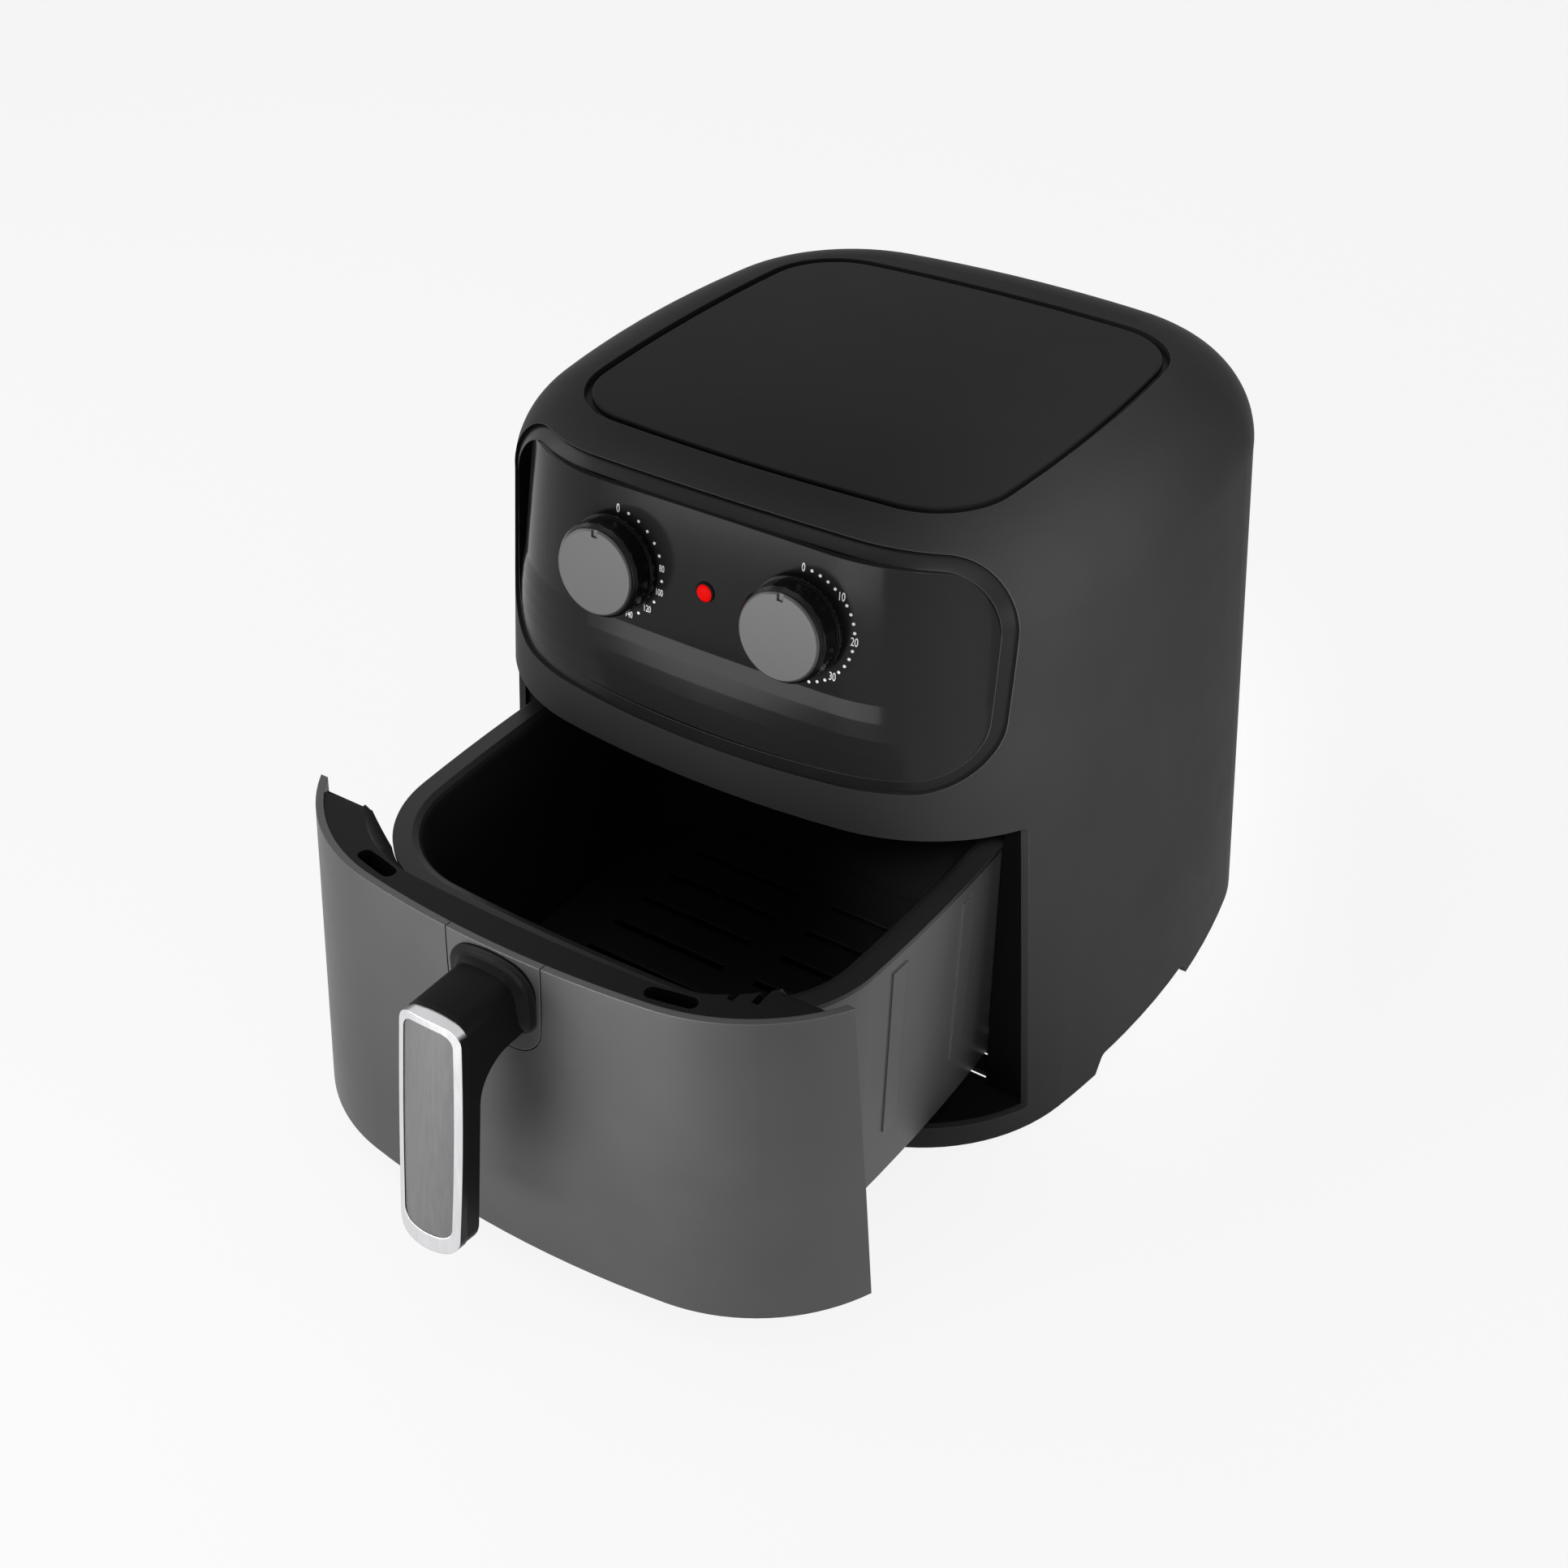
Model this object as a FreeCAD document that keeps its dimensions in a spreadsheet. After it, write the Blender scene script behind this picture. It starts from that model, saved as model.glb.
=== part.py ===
import FreeCAD, Part
import math
import os
import re
import Sketcher

# A basket air fryer, standing on the floor plane Z = 0 with its drawer pulled part way out.
# X runs to the right seen from the front, Y to the back and Z up; all lengths are in millimetres.

doc = FreeCAD.newDocument("air_fryer")
sheet = doc.addObject("Spreadsheet::Sheet", "Sizes")

SIZES = [
    ("foot_height", 4.0, "floor to the lower edge of the housing"),
    ("foot_spread", 92.0, "centre line to the middle of a foot"),
    ("foot_reach", 108.0, "middle of the base to the middle of a foot"),
    ("vent_pitch", 12.4, "distance between two slots in the base plate"),
    ("body_height", 266.0, "lower edge to the top of the housing"),
    ("bottom_half_width", 146.0, "half width of the housing at its lower edge"),
    ("top_half_width", 131.0, "half width that the walls reach at the top"),
    ("bottom_half_depth", 152.5, "half depth of the housing at its lower edge"),
    ("top_half_depth", 132.0, "half depth that the walls reach at the top"),
    ("top_shift", 4.5, "how far the top sits forward of the base"),
    ("side_bow", 430.0, "radius of the bowed sides in plan"),
    ("front_bow", 440.0, "radius of the bowed front and back in plan"),
    ("corner_radius", 81.0, "radius of the upright corners in plan"),
    ("shoulder_radius", 36.0, "rounding from the walls to the top"),
    ("wall", 3.0, "thickness of the moulded skin"),
    ("fit_gap", 0.2, "gap of a plate that drops into the housing"),
    ("sill_height", 14.0, "floor to the lower edge of the drawer opening"),
    ("lip_drop", 17.0, "surround of the control panel down to the drawer opening"),
    ("seam_depth", 99.0, "how far forward the upright seam of the drawer is"),
    ("drawer_gap", 1.5, "gap above and below the drawer front"),
    ("seam_gap", 1.0, "gap at the upright seam"),
    ("drawer_open", 118.5, "how far the drawer is pulled out"),
    ("arch_front", 60.0, "front end of the arch under the sides"),
    ("arch_back", 28.0, "rear end of the arch under the sides"),
    ("arch_rise", 8.0, "height of the arch under the sides"),
    ("top_half", 92.5, "half size of the inset panel in the top"),
    ("top_corner", 32.0, "corner radius of the inset panel"),
    ("top_forward", 11.0, "how far forward the inset panel is"),
    ("groove", 3.0, "width of the groove around the inset panel"),
    ("frame_half_width", 114.0, "half width of the control panel's surround"),
    ("frame_drop", 6.0, "top of the housing down to the control panel's surround"),
    ("frame_tall", 95.5, "height of the control panel's surround"),
    ("frame_corner", 28.0, "corner radius of the control panel's surround"),
    ("frame_band", 5.0, "width of the surround"),
    ("frame_recess", 1.5, "how far the surround sits below the skin"),
    ("panel_recess", 7.5, "how far the control panel sits below the skin at the dials"),
    ("sweep_rise", 41.0, "height of the outward sweep at the panel's lower edge"),
    ("panel_corner", 72.0, "radius of the control panel's rounded ends in plan"),
    ("panel_bow", 1600.0, "radius of the control panel's flat middle in plan"),
    ("panel_thick", 2.5, "thickness of the control panel"),
    ("dial_drop", 35.5, "upper edge of the surround down to the middle of the dials"),
    ("dial_spacing", 41.0, "centre line to the middle of a dial"),
    ("dial_lean", 6.0, "degrees that the dials lean back"),
    ("knob_radius", 18.6, "radius of a knob over its facets"),
    ("knob_height", 9.0, "height of a knob above its skirt"),
    ("knob_clear", 1.8, "gap between a knob and the control panel"),
    ("shaft_radius", 3.0, "radius of a knob shaft"),
    ("running_gap", 0.05, "gap of a turning shaft or sliding pin in its bore"),
    ("lamp_radius", 4.0, "radius of the indicator lens"),
    ("tub_half_width", 107.0, "half width of the drawer tub at its rim"),
    ("tub_half_depth", 109.5, "half depth of the drawer tub at its rim"),
    ("tub_forward", 6.0, "how far forward the shut tub is"),
    ("tub_draft", 3.0, "how much the tub narrows to its floor on each side"),
    ("tub_corner", 55.0, "corner radius of the tub"),
    ("tub_bow", 900.0, "radius of the tub's bowed sides"),
    ("tub_sheet", 0.8, "sheet thickness of the tub and the liner"),
    ("tub_floor", 16.5, "floor to the underside of the tub"),
    ("rim_drop", 23.5, "upper edge of the drawer opening down to the rim of the tub"),
    ("rib_width", 9.5, "width of a pressed rib in the tub's side"),
    ("rib_rise", 0.6, "how far a pressed rib stands out"),
    ("pan_inset", 10.0, "rim of the tub to the wall of the cooking pan"),
    ("pan_sheet", 1.0, "sheet thickness of the cooking pan"),
    ("pan_floor", 20.0, "floor to the underside of the cooking pan"),
    ("liner_half_width", 112.0, "half width of the cavity"),
    ("liner_back", 107.0, "how far back the cavity goes"),
    ("liner_corner", 46.0, "radius of the cavity's rear corners"),
    ("plate_thick", 2.5, "thickness of the base plate"),
    ("runner_spread", 66.0, "centre line to the middle of a drawer runner"),
    ("cord_side", 30.0, "centre line to the cord's inlet"),
    ("cord_rise", 28.0, "drawer opening's lower edge up to the cord's inlet"),
    ("switch_side", 30.0, "centre line to the drawer switch"),
    ("switch_drop", 41.5, "drawer opening's upper edge down to the drawer switch"),
    ("grille_half_width", 46.0, "half width of the rear outlet"),
    ("grille_tall", 62.0, "height of the rear outlet"),
    ("grille_rise", 12.5, "drawer opening's upper edge up to the rear outlet"),
    ("grille_corner", 10.0, "corner radius of the rear outlet"),
    ("mid_sheet", 0.8, "thickness of the plate over the cavity"),
    ("heat_forward", 12.0, "how far forward the fan axis is"),
    ("heat_radius", 92.0, "radius of the heating chamber"),
    ("heat_height", 43.0, "height of the heating chamber"),
    ("hot_port", 84.0, "radius of the hot air port over the cavity"),
    ("fan_radius", 58.0, "radius of the hot air fan"),
    ("element_radius", 66.0, "radius of the heating element's inner ring"),
    ("element_pitch", 9.0, "distance between the heating element's two rings"),
    ("element_gap", 24.0, "how far the element's turn is from its ends"),
    ("element_tube", 3.2, "radius of the heating element's tube"),
    ("collar_side", 2.0, "how far the collar's dish widens to each side"),
    ("collar_front", 13.0, "how far the collar's dish widens to the front"),
    ("slot_spread", 66.5, "centre line to the middle of a collar slot"),
    ("slot_inset", 14.766, "front of the housing back to the middle of a collar slot"),
    ("mount_half_width", 21.0, "half width of the plate that carries the handle"),
    ("mount_drop", 41.5, "upper edge of the drawer opening down to the foot of that plate"),
    ("mount_corner", 12.0, "corner radius of that plate"),
    ("seam_line", 0.5, "width of the seam around that plate"),
    ("grip_half_width", 14.2, "half width of the handle"),
    ("grip_drop", 7.5, "upper edge of the drawer opening down to the top of the handle's arm"),
    ("arm_tall", 26.0, "height of the handle's arm"),
    ("grip_ahead", 179.0, "how far forward the handle's face is at its top"),
    ("grip_back", 8.5, "thickness of the grip behind its bright frame"),
    ("grip_bend", 16.0, "rounding between the arm and the back of the grip"),
    ("grip_round", 3.5, "rounding of the handle's long edges"),
    ("grip_lean", 8.0, "degrees that the grip leans out at its foot"),
    ("trim_half_length", 50.0, "half length of the handle's bright frame"),
    ("trim_depth", 6.5, "depth of the handle's bright frame"),
    ("trim_band", 3.0, "width of the handle's bright frame"),
    ("foot_band", 4.0, "extra width of the bright frame at its foot"),
    ("face_bow", 36.0, "radius of the handle's bowed face"),
]

for row, (alias, value, note) in enumerate(SIZES, 1):
    sheet.set(f"A{row}", note)
    sheet.set(f"B{row}", str(value))
    sheet.setAlias(f"B{row}", alias)
doc.recompute()

V = FreeCAD.Vector
UP = V(0, 0, 1)
PARTS = {}


# Heights that follow the housing; each one may use those below it.
HEIGHTS = [
    ("mount_low", "lip_height - mount_drop"),
    ("grip_top", "lip_height - grip_drop"),
    ("rim_height", "lip_height - rim_drop"),
    ("lip_height", "frame_low - lip_drop"),
    ("dial_height", "frame_high - dial_drop"),
    ("frame_low", "frame_high - frame_tall"),
    ("frame_high", "foot_height + body_height - frame_drop"),
]


def spelled(text):
    """A sum with the heights that follow the housing written out in sheet sizes."""
    for name, total in HEIGHTS:
        text = re.sub(rf"\b{name}\b", f"({total})", str(text))
    return text


def num(text):
    """The number that a sum of sheet sizes comes to."""
    return float(sheet.evalExpression(spelled(text)))


def bind(item, prop, text):
    """Tie a property to a sum of sheet sizes."""
    item.setExpression(prop, re.sub(r"\b([a-z][a-z0-9_]*)\b(?!\()", r"Sizes.\1", spelled(text)))


def new_body(name):
    return doc.addObject("PartDesign::Body", name)


def origin_plane(body, role):
    return next(item for item in body.Origin.OriginFeatures if item.Role == role)


def new_sketch(body, name, role, lift="0", across="0", along="0"):
    """An empty sketch on one of the body's own planes, moved by sheet sizes."""
    sketch = body.newObject("Sketcher::SketchObject", name)
    sketch.AttachmentSupport = [(origin_plane(body, role), "")]
    sketch.MapMode = "FlatFace"
    for axis, text in (("x", across), ("y", along), ("z", lift)):
        bind(sketch, "AttachmentOffset.Base." + axis, text)
    return sketch


def size_constraint(sketch, name, constraint, text):
    index = sketch.addConstraint(constraint)
    sketch.renameConstraint(index, name)
    bind(sketch, "Constraints." + name, text)


def oval(sketch, half_x, half_y, bow_x, bow_y, corner):
    """Four bowed sides and four corner arcs, each running smoothly into the next."""
    ax, ay, rx, ry, r = (num(text) for text in (half_x, half_y, bow_x, bow_y, corner))
    side = V(ax - rx, 0, 0)
    back = V(0, ay - ry, 0)
    line = back - side
    reach = (line.Length ** 2 + (rx - r) ** 2 - (ry - r) ** 2) / (2 * line.Length)
    away = math.sqrt((rx - r) ** 2 - reach ** 2)
    unit = line / line.Length
    normal = V(unit.y, -unit.x, 0)
    middle = side + unit * reach
    mid = max((middle + normal * away, middle - normal * away), key=lambda p: p.x + p.y)
    a = math.atan2(mid.y - side.y, mid.x - side.x)
    b = math.atan2(mid.y - back.y, mid.x - back.x)
    half = math.pi
    arcs = [
        (side, rx, -a, a),
        (mid, r, a, b),
        (back, ry, b, half - b),
        (V(-mid.x, mid.y, 0), r, half - b, half - a),
        (-side, rx, half - a, half + a),
        (-mid, r, half + a, half + b),
        (-back, ry, half + b, 2 * half - b),
        (V(mid.x, -mid.y, 0), r, 2 * half - b, 2 * half - a),
    ]
    sketch.addGeometry([Part.ArcOfCircle(Part.Circle(c, UP, q), s, e) for c, q, s, e in arcs], False)
    rule = Sketcher.Constraint
    sketch.addConstraint([rule("Tangent", i, 2, (i + 1) % 8, 1) for i in range(8)])
    sketch.addConstraint([rule("PointOnObject", i, 3, -1) for i in (0, 4)])
    sketch.addConstraint([rule("PointOnObject", i, 3, -2) for i in (2, 6)])
    sketch.addConstraint([rule("Equal", i, j) for i, j in ((0, 4), (2, 6), (1, 3), (1, 5), (1, 7))])
    size_constraint(sketch, "side_arc", rule("Radius", 0, rx), bow_x)
    size_constraint(sketch, "back_arc", rule("Radius", 2, ry), bow_y)
    size_constraint(sketch, "corner_arc", rule("Radius", 1, r), corner)
    wide = f"({bow_x}) - ({half_x})"
    deep = f"({bow_y}) - ({half_y})"
    size_constraint(sketch, "right", rule("DistanceX", 0, 3, -1, 1, rx - ax), wide)
    size_constraint(sketch, "left", rule("DistanceX", -1, 1, 4, 3, rx - ax), wide)
    size_constraint(sketch, "rear", rule("DistanceY", 2, 3, -1, 1, ry - ay), deep)
    size_constraint(sketch, "fore", rule("DistanceY", -1, 1, 6, 3, ry - ay), deep)
    return sketch


def polygon(sketch, points):
    """Straight lines through points whose two measures are sheet sums."""
    spots = [V(num(x), num(y), 0) for x, y in points]
    count = len(spots)
    rule = Sketcher.Constraint
    sketch.addGeometry([Part.LineSegment(spots[i], spots[(i + 1) % count]) for i in range(count)], False)
    sketch.addConstraint([rule("Coincident", i, 2, (i + 1) % count, 1) for i in range(count)])
    for i, (x, y) in enumerate(points):
        for letter, axis, text, value in (("x", -2, x, spots[i].x), ("y", -1, y, spots[i].y)):
            kind = "Distance" + letter.upper()
            if value == 0:
                sketch.addConstraint(rule("PointOnObject", i, 1, axis))
            elif value > 0:
                size_constraint(sketch, f"{letter}{i}", rule(kind, -1, 1, i, 1, value), text)
            else:
                size_constraint(sketch, f"{letter}{i}", rule(kind, i, 1, -1, 1, -value), f"-({text})")
    return sketch


def circle(sketch, radius, across="0", along="0"):
    """One circle; its centre may sit away from the sketch's origin."""
    rule = Sketcher.Constraint
    spot = V(num(across), num(along), 0)
    index = sketch.addGeometry(Part.Circle(spot, UP, num(radius)), False)
    size_constraint(sketch, f"radius{index}", rule("Radius", index, num(radius)), radius)
    sketch.addConstraint(rule("DistanceX", -1, 1, index, 3, spot.x))
    sketch.addConstraint(rule("DistanceY", -1, 1, index, 3, spot.y))
    return sketch


def pad(body, sketch, length, kind="Pad"):
    feature = body.newObject("PartDesign::" + kind, sketch.Name + "_" + kind.lower())
    feature.Profile = sketch
    bind(feature, "Length", length)
    return feature


def loft(body, sketches, ruled=True):
    feature = body.newObject("PartDesign::AdditiveLoft", sketches[0].Name + "_loft")
    feature.Profile = sketches[0]
    feature.Sections = sketches[1:]
    feature.Ruled = ruled
    return feature


def round_edges(body, feature, radius, chosen, kind="Fillet"):
    """Round or bevel the edges of the body's last feature that pass the test."""
    doc.recompute()
    names = [f"Edge{i}" for i, edge in enumerate(feature.Shape.Edges, 1) if chosen(edge)]
    rounded = body.newObject("PartDesign::" + kind, feature.Name + "_" + kind.lower())
    rounded.Base = (feature, names)
    bind(rounded, "Radius" if kind == "Fillet" else "Size", radius)
    return rounded


def turned(name, profile):
    """A solid of revolution about Z; the profile gives radius and height."""
    body = new_body(name)
    sketch = polygon(new_sketch(body, name + "_profile", "XZ_Plane"), profile)
    doc.recompute()
    feature = body.newObject("PartDesign::Revolution", name + "_turn")
    feature.Profile = sketch
    feature.ReferenceAxis = (sketch, ["V_Axis"])
    feature.Angle = 360
    return body


def box(name, x, y, z):
    """A block between pairs of sheet sums."""
    item = doc.addObject("Part::Box", name)
    for prop, axis, (low, high) in (("Length", "x", x), ("Width", "y", y), ("Height", "z", z)):
        bind(item, prop, f"({high}) - ({low})")
        bind(item, "Placement.Base." + axis, low)
    return item


TURNS = {"x": (V(0, 1, 0), 90), "y": (V(1, 0, 0), -90), "z": (UP, 0)}


def rod(name, axis, radius, low, high, spot):
    """A round bar along an axis; the spot gives its other two measures in order."""
    item = doc.addObject("Part::Cylinder", name)
    item.Placement = FreeCAD.Placement(V(0, 0, 0), FreeCAD.Rotation(*TURNS[axis]))
    bind(item, "Radius", radius)
    bind(item, "Height", f"({high}) - ({low})")
    others = [letter for letter in "xyz" if letter != axis]
    for letter, text in zip([axis] + others, [low] + list(spot)):
        bind(item, "Placement.Base." + letter, text)
    return item


def fuse(name, *shapes):
    item = doc.addObject("Part::MultiFuse", name)
    item.Shapes = list(shapes)
    return item


def common(name, *shapes):
    item = doc.addObject("Part::MultiCommon", name)
    item.Shapes = list(shapes)
    return item


def cut(name, base, *tools):
    item = doc.addObject("Part::Cut", name)
    item.Base = base
    item.Tool = tools[0] if len(tools) == 1 else fuse(name + "_tools", *tools)
    return item


def place(item, x, y, z, axis=UP, degrees=0.0):
    """Put a piece that was made about its own origin at its place."""
    item.Placement = FreeCAD.Placement(V(0, 0, 0), FreeCAD.Rotation(axis, degrees))
    for letter, text in (("x", x), ("y", y), ("z", z)):
        bind(item, "Placement.Base." + letter, text)
    return item


def keep(node, item, drawer=False):
    """Name a finished piece; drawer pieces are made shut and then pulled out."""
    if drawer:
        bind(item, "Placement.Base.y", "-drawer_open")
    item.Label = node
    PARTS[node] = item


# Housing form: walls that flare downwards, closed by a rounded shoulder.

TOP = "foot_height + body_height"
SHOULDER = "foot_height + body_height - shoulder_radius"


def part_way(low, high, height):
    """A measure that changes evenly from the lower edge to the top."""
    return f"({low} + ({high} - {low}) * (({height}) - foot_height) / body_height)"


def half_width(height):
    return part_way("bottom_half_width", "top_half_width", height)


def half_depth(height):
    return part_way("bottom_half_depth", "top_half_depth", height)


def forward(height):
    return part_way("0", "top_shift", height)


def skin_front(height):
    """How far forward the middle of the front is at a height."""
    return f"({half_depth(height)} + {forward(height)})"


def skin_back(height):
    return f"({half_depth(height)} - {forward(height)})"


def plan_section(body, name, height, level, inset):
    """The housing's outline at a level, drawn at a height and moved inwards."""
    sketch = new_sketch(body, name, "XY_Plane", height, "0", "-" + forward(level))
    return oval(sketch, f"{half_width(level)} - ({inset})", f"{half_depth(level)} - ({inset})",
                f"side_bow - ({inset})", f"front_bow - ({inset})", f"corner_radius - ({inset})")


SHOULDER_STEPS = 6


def housing_form(name, inset):
    """The whole outside of the housing as one solid, moved inwards all round."""
    body = new_body(name)
    low = plan_section(body, name + "_low", "foot_height", "foot_height", inset)
    round_over = f"(shoulder_radius - ({inset}))"
    rings = []
    for step in range(SHOULDER_STEPS + 1):
        angle = f"{90 * step / SHOULDER_STEPS}deg"
        height = f"{SHOULDER} + {round_over} * sin({angle})"
        deeper = f"{inset} + {round_over} * (1 - cos({angle}))"
        rings.append(plan_section(body, f"{name}_ring{step}", height, SHOULDER, deeper))
    doc.recompute()
    loft(body, [low, rings[0]])
    loft(body, rings, ruled=False)
    return body


outer_form = housing_form("outer_form", "0")
inner_form = housing_form("inner_form", "wall")
fit_form = housing_form("fit_form", "wall + fit_gap")
skin = cut("skin", outer_form, inner_form)


def front_oval(name, half_x, low, high, corner, near, far, bow="panel_bow"):
    """A rounded window seen from the front, running from near to far along Y."""
    body = new_body(name)
    sketch = new_sketch(body, name + "_outline", "XZ_Plane", f"-({near})", "0", f"(({low}) + ({high})) / 2")
    oval(sketch, half_x, f"(({high}) - ({low})) / 2", bow, bow, corner)
    doc.recompute()
    feature = pad(body, sketch, f"({far}) - ({near})")
    feature.Reversed = True
    return body


def plan_oval(name, half_x, half_y, corner, bow, low, high, ahead):
    """A rounded plate seen from above, between two heights."""
    body = new_body(name)
    sketch = new_sketch(body, name + "_outline", "XY_Plane", low, "0", f"-({ahead})")
    oval(sketch, half_x, half_y, bow, bow, corner)
    doc.recompute()
    pad(body, sketch, f"({high}) - ({low})")
    return body


# Cutters that both the housing and its neighbours use.

TOP_BOW = "top_half * 8"
window = front_oval("window", "frame_half_width", "frame_low", "frame_high", "frame_corner", "-200", "-60")
top_hole = plan_oval("top_hole", "top_half + groove", "top_half + groove", "top_corner + groove", TOP_BOW,
                     f"{TOP} - 20", f"{TOP} + 20", "top_forward")

opening = new_body("opening")
opening_side = new_sketch(opening, "opening_side", "YZ_Plane", "-200")
polygon(opening_side, [("-300", "sill_height"), ("-seam_depth", "sill_height"),
                       ("-seam_depth", "lip_height"), ("-300", "lip_height")])
doc.recompute()
opening_pad = pad(opening, opening_side, "400")
round_edges(opening, opening_pad, "drawer_gap + seam_gap",
            lambda edge: all(v.Z > num("sill_height") + 1 and v.Y > -200 for v in edge.Vertexes))

arch = new_body("arch")
arch_side = new_sketch(arch, "arch_side", "YZ_Plane", "-200")
ARCH_TOP = "foot_height + arch_rise"
polygon(arch_side, [("-arch_front", "-1"), ("arch_back", "-1"), ("arch_back - arch_rise", ARCH_TOP),
                    ("-arch_front + arch_rise", ARCH_TOP)])
doc.recompute()
arch_pad = pad(arch, arch_side, "400")
round_edges(arch, arch_pad, "arch_rise / 2",
            lambda edge: abs(edge.tangentAt(0).x) > 0.9
            and all(v.Z > num("foot_height") + 1 for v in edge.Vertexes))

GRILLE_LOW = "(lip_height + grille_rise)"
GRILLE_HIGH = "(lip_height + grille_rise + grille_tall)"
grille_hole = front_oval("grille_hole", "grille_half_width + seam_line", f"{GRILLE_LOW} - seam_line",
                         f"{GRILLE_HIGH} + seam_line", "grille_corner + seam_line", "60", "200")
grille_block = front_oval("grille_block", "grille_half_width", GRILLE_LOW, GRILLE_HIGH, "grille_corner",
                          "60", "200")

CORD_SPOT = ("cord_side", "sill_height + cord_rise")
cord_hole = rod("cord_hole", "y", "7", "100", "200", CORD_SPOT)

keep("outer_shell", cut("shell", skin, window, top_hole, opening, arch, grille_hole, cord_hole))

# Top: a panel with a flange below the skin, so that a groove runs round it.

top_panel = new_body("top_panel_body")
FLANGE_LOW = f"{TOP} - wall - 2.2"
FLANGE_HALF = "top_half + groove + 4"
flange_outline = new_sketch(top_panel, "flange_outline", "XY_Plane", FLANGE_LOW, "0", "-top_forward")
oval(flange_outline, FLANGE_HALF, FLANGE_HALF, TOP_BOW, TOP_BOW, "top_corner + groove + 4")
doc.recompute()
pad(top_panel, flange_outline, "2.2")
plate_outline = new_sketch(top_panel, "plate_outline", "XY_Plane", f"{TOP} - wall", "0", "-top_forward")
oval(plate_outline, "top_half", "top_half", TOP_BOW, TOP_BOW, "top_corner")
doc.recompute()
plate_pad = pad(top_panel, plate_outline, "wall - 0.3")
round_edges(top_panel, plate_pad, "0.8", lambda edge: all(v.Z > num(TOP) - 0.5 for v in edge.Vertexes))
keep("top_panel", top_panel)

# Control panel: a sunk face that leans back at the dials and sweeps out to the lower lip.


WALL_RATE = "((bottom_half_depth - top_half_depth - top_shift) / body_height)"
LEAN_RATE = f"(tan(dial_lean * 1deg) - {WALL_RATE})"
SWEEP_STEPS = 6
SWEEP_POWER = 1.6


def sunk_at(height):
    """Depth of the panel's flat upper face below the line of the walls."""
    return f"(panel_recess + (({height}) - dial_height) * {LEAN_RATE})"


def panel_form(name, deeper):
    """The control panel's face as the front of a solid, moved inwards."""
    body = new_body(name)
    foot = "(frame_low - frame_band)"
    lip = "(frame_recess + 0.5)"
    crease = f"({foot} + sweep_rise)"
    stations = []
    for step in range(SWEEP_STEPS + 1):
        rise = step / SWEEP_STEPS
        share = round(rise ** SWEEP_POWER, 4)
        sunk = f"{lip} + ({sunk_at(crease)} - {lip}) * {share}"
        stations.append((f"{foot} + sweep_rise * {rise}", sunk, share))
    stations.append(("frame_high - 2", sunk_at("frame_high - 2"), 1.0))
    sketches = []
    for index, (height, sunk, flat) in enumerate(stations):
        inset = f"({sunk} + {deeper})"
        sketch = new_sketch(body, f"{name}_{index}", "XY_Plane", height, "0", "-" + forward(height))
        oval(sketch, f"{half_width(height)} - {inset}", f"{half_depth(height)} - {inset}",
             f"side_bow - {inset}", f"front_bow + (panel_bow - front_bow) * {flat}",
             f"corner_radius - {inset} + (panel_corner - corner_radius + {inset}) * {flat}")
        sketches.append(sketch)
    doc.recompute()
    loft(body, sketches)
    return body


FRAME_INNER = ("frame_half_width - frame_band", "frame_low + frame_band", "frame_high - frame_band",
               "frame_corner - frame_band")
face_form = panel_form("face_form", "0")
face_back = panel_form("face_back", "panel_thick")
frame_form = housing_form("frame_form", "frame_recess")
frame_back = housing_form("frame_back", "panel_recess + panel_thick")
frame_hole = front_oval("frame_hole", *FRAME_INNER, "-200", "-60")
frame_block = front_oval("frame_block", "frame_half_width - fit_gap", "frame_low + fit_gap",
                         "frame_high - fit_gap", "frame_corner - fit_gap", "-200", "-seam_depth + 10")
surround = common("surround", frame_form, frame_block)
keep("panel_frame", cut("frame_ring", surround, frame_back, frame_hole))

DIAL_FRONT = f"({skin_front('dial_height')} - panel_recess)"
LEAN = 90 - num("dial_lean")
SIDES = (("temperature", "-dial_spacing"), ("timer", "dial_spacing"))


def on_panel(item, x):
    """Stand a piece made about Z on the control panel, leaning back with it."""
    return place(item, x, f"-{DIAL_FRONT}", "dial_height", V(1, 0, 0), LEAN)


def straight(name, radius, low, high):
    """A round bar about Z, to be placed afterwards."""
    return turned(name, [("0", low), (radius, low), (radius, high), ("0", high)])


panel_holes = [on_panel(straight(f"{side}_hole", "shaft_radius + 1", "-20", "20"), x) for side, x in SIDES]
panel_holes.append(on_panel(straight("lamp_hole", "lamp_radius", "-20", "20"), "0"))
panel_plate = common("panel_plate", face_form, frame_hole)
keep("control_panel", cut("panel_face", panel_plate, face_back, *panel_holes))

lens = turned("lens", [("0", "-3.5"), ("lamp_radius", "-3.5"), ("lamp_radius", "0.5"),
                       ("lamp_radius * 0.6", "1.3"), ("0", "1.5")])
keep("indicator_lens", on_panel(lens, "0"))
keep("indicator_lamp", on_panel(straight("lamp", "lamp_radius * 0.8", "-16", "-3.5"), "0"))

# Dials: a faceted knob with a skirt, a flat cap with a pointer notch, and its shaft.

SKIRT = 1.5


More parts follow.
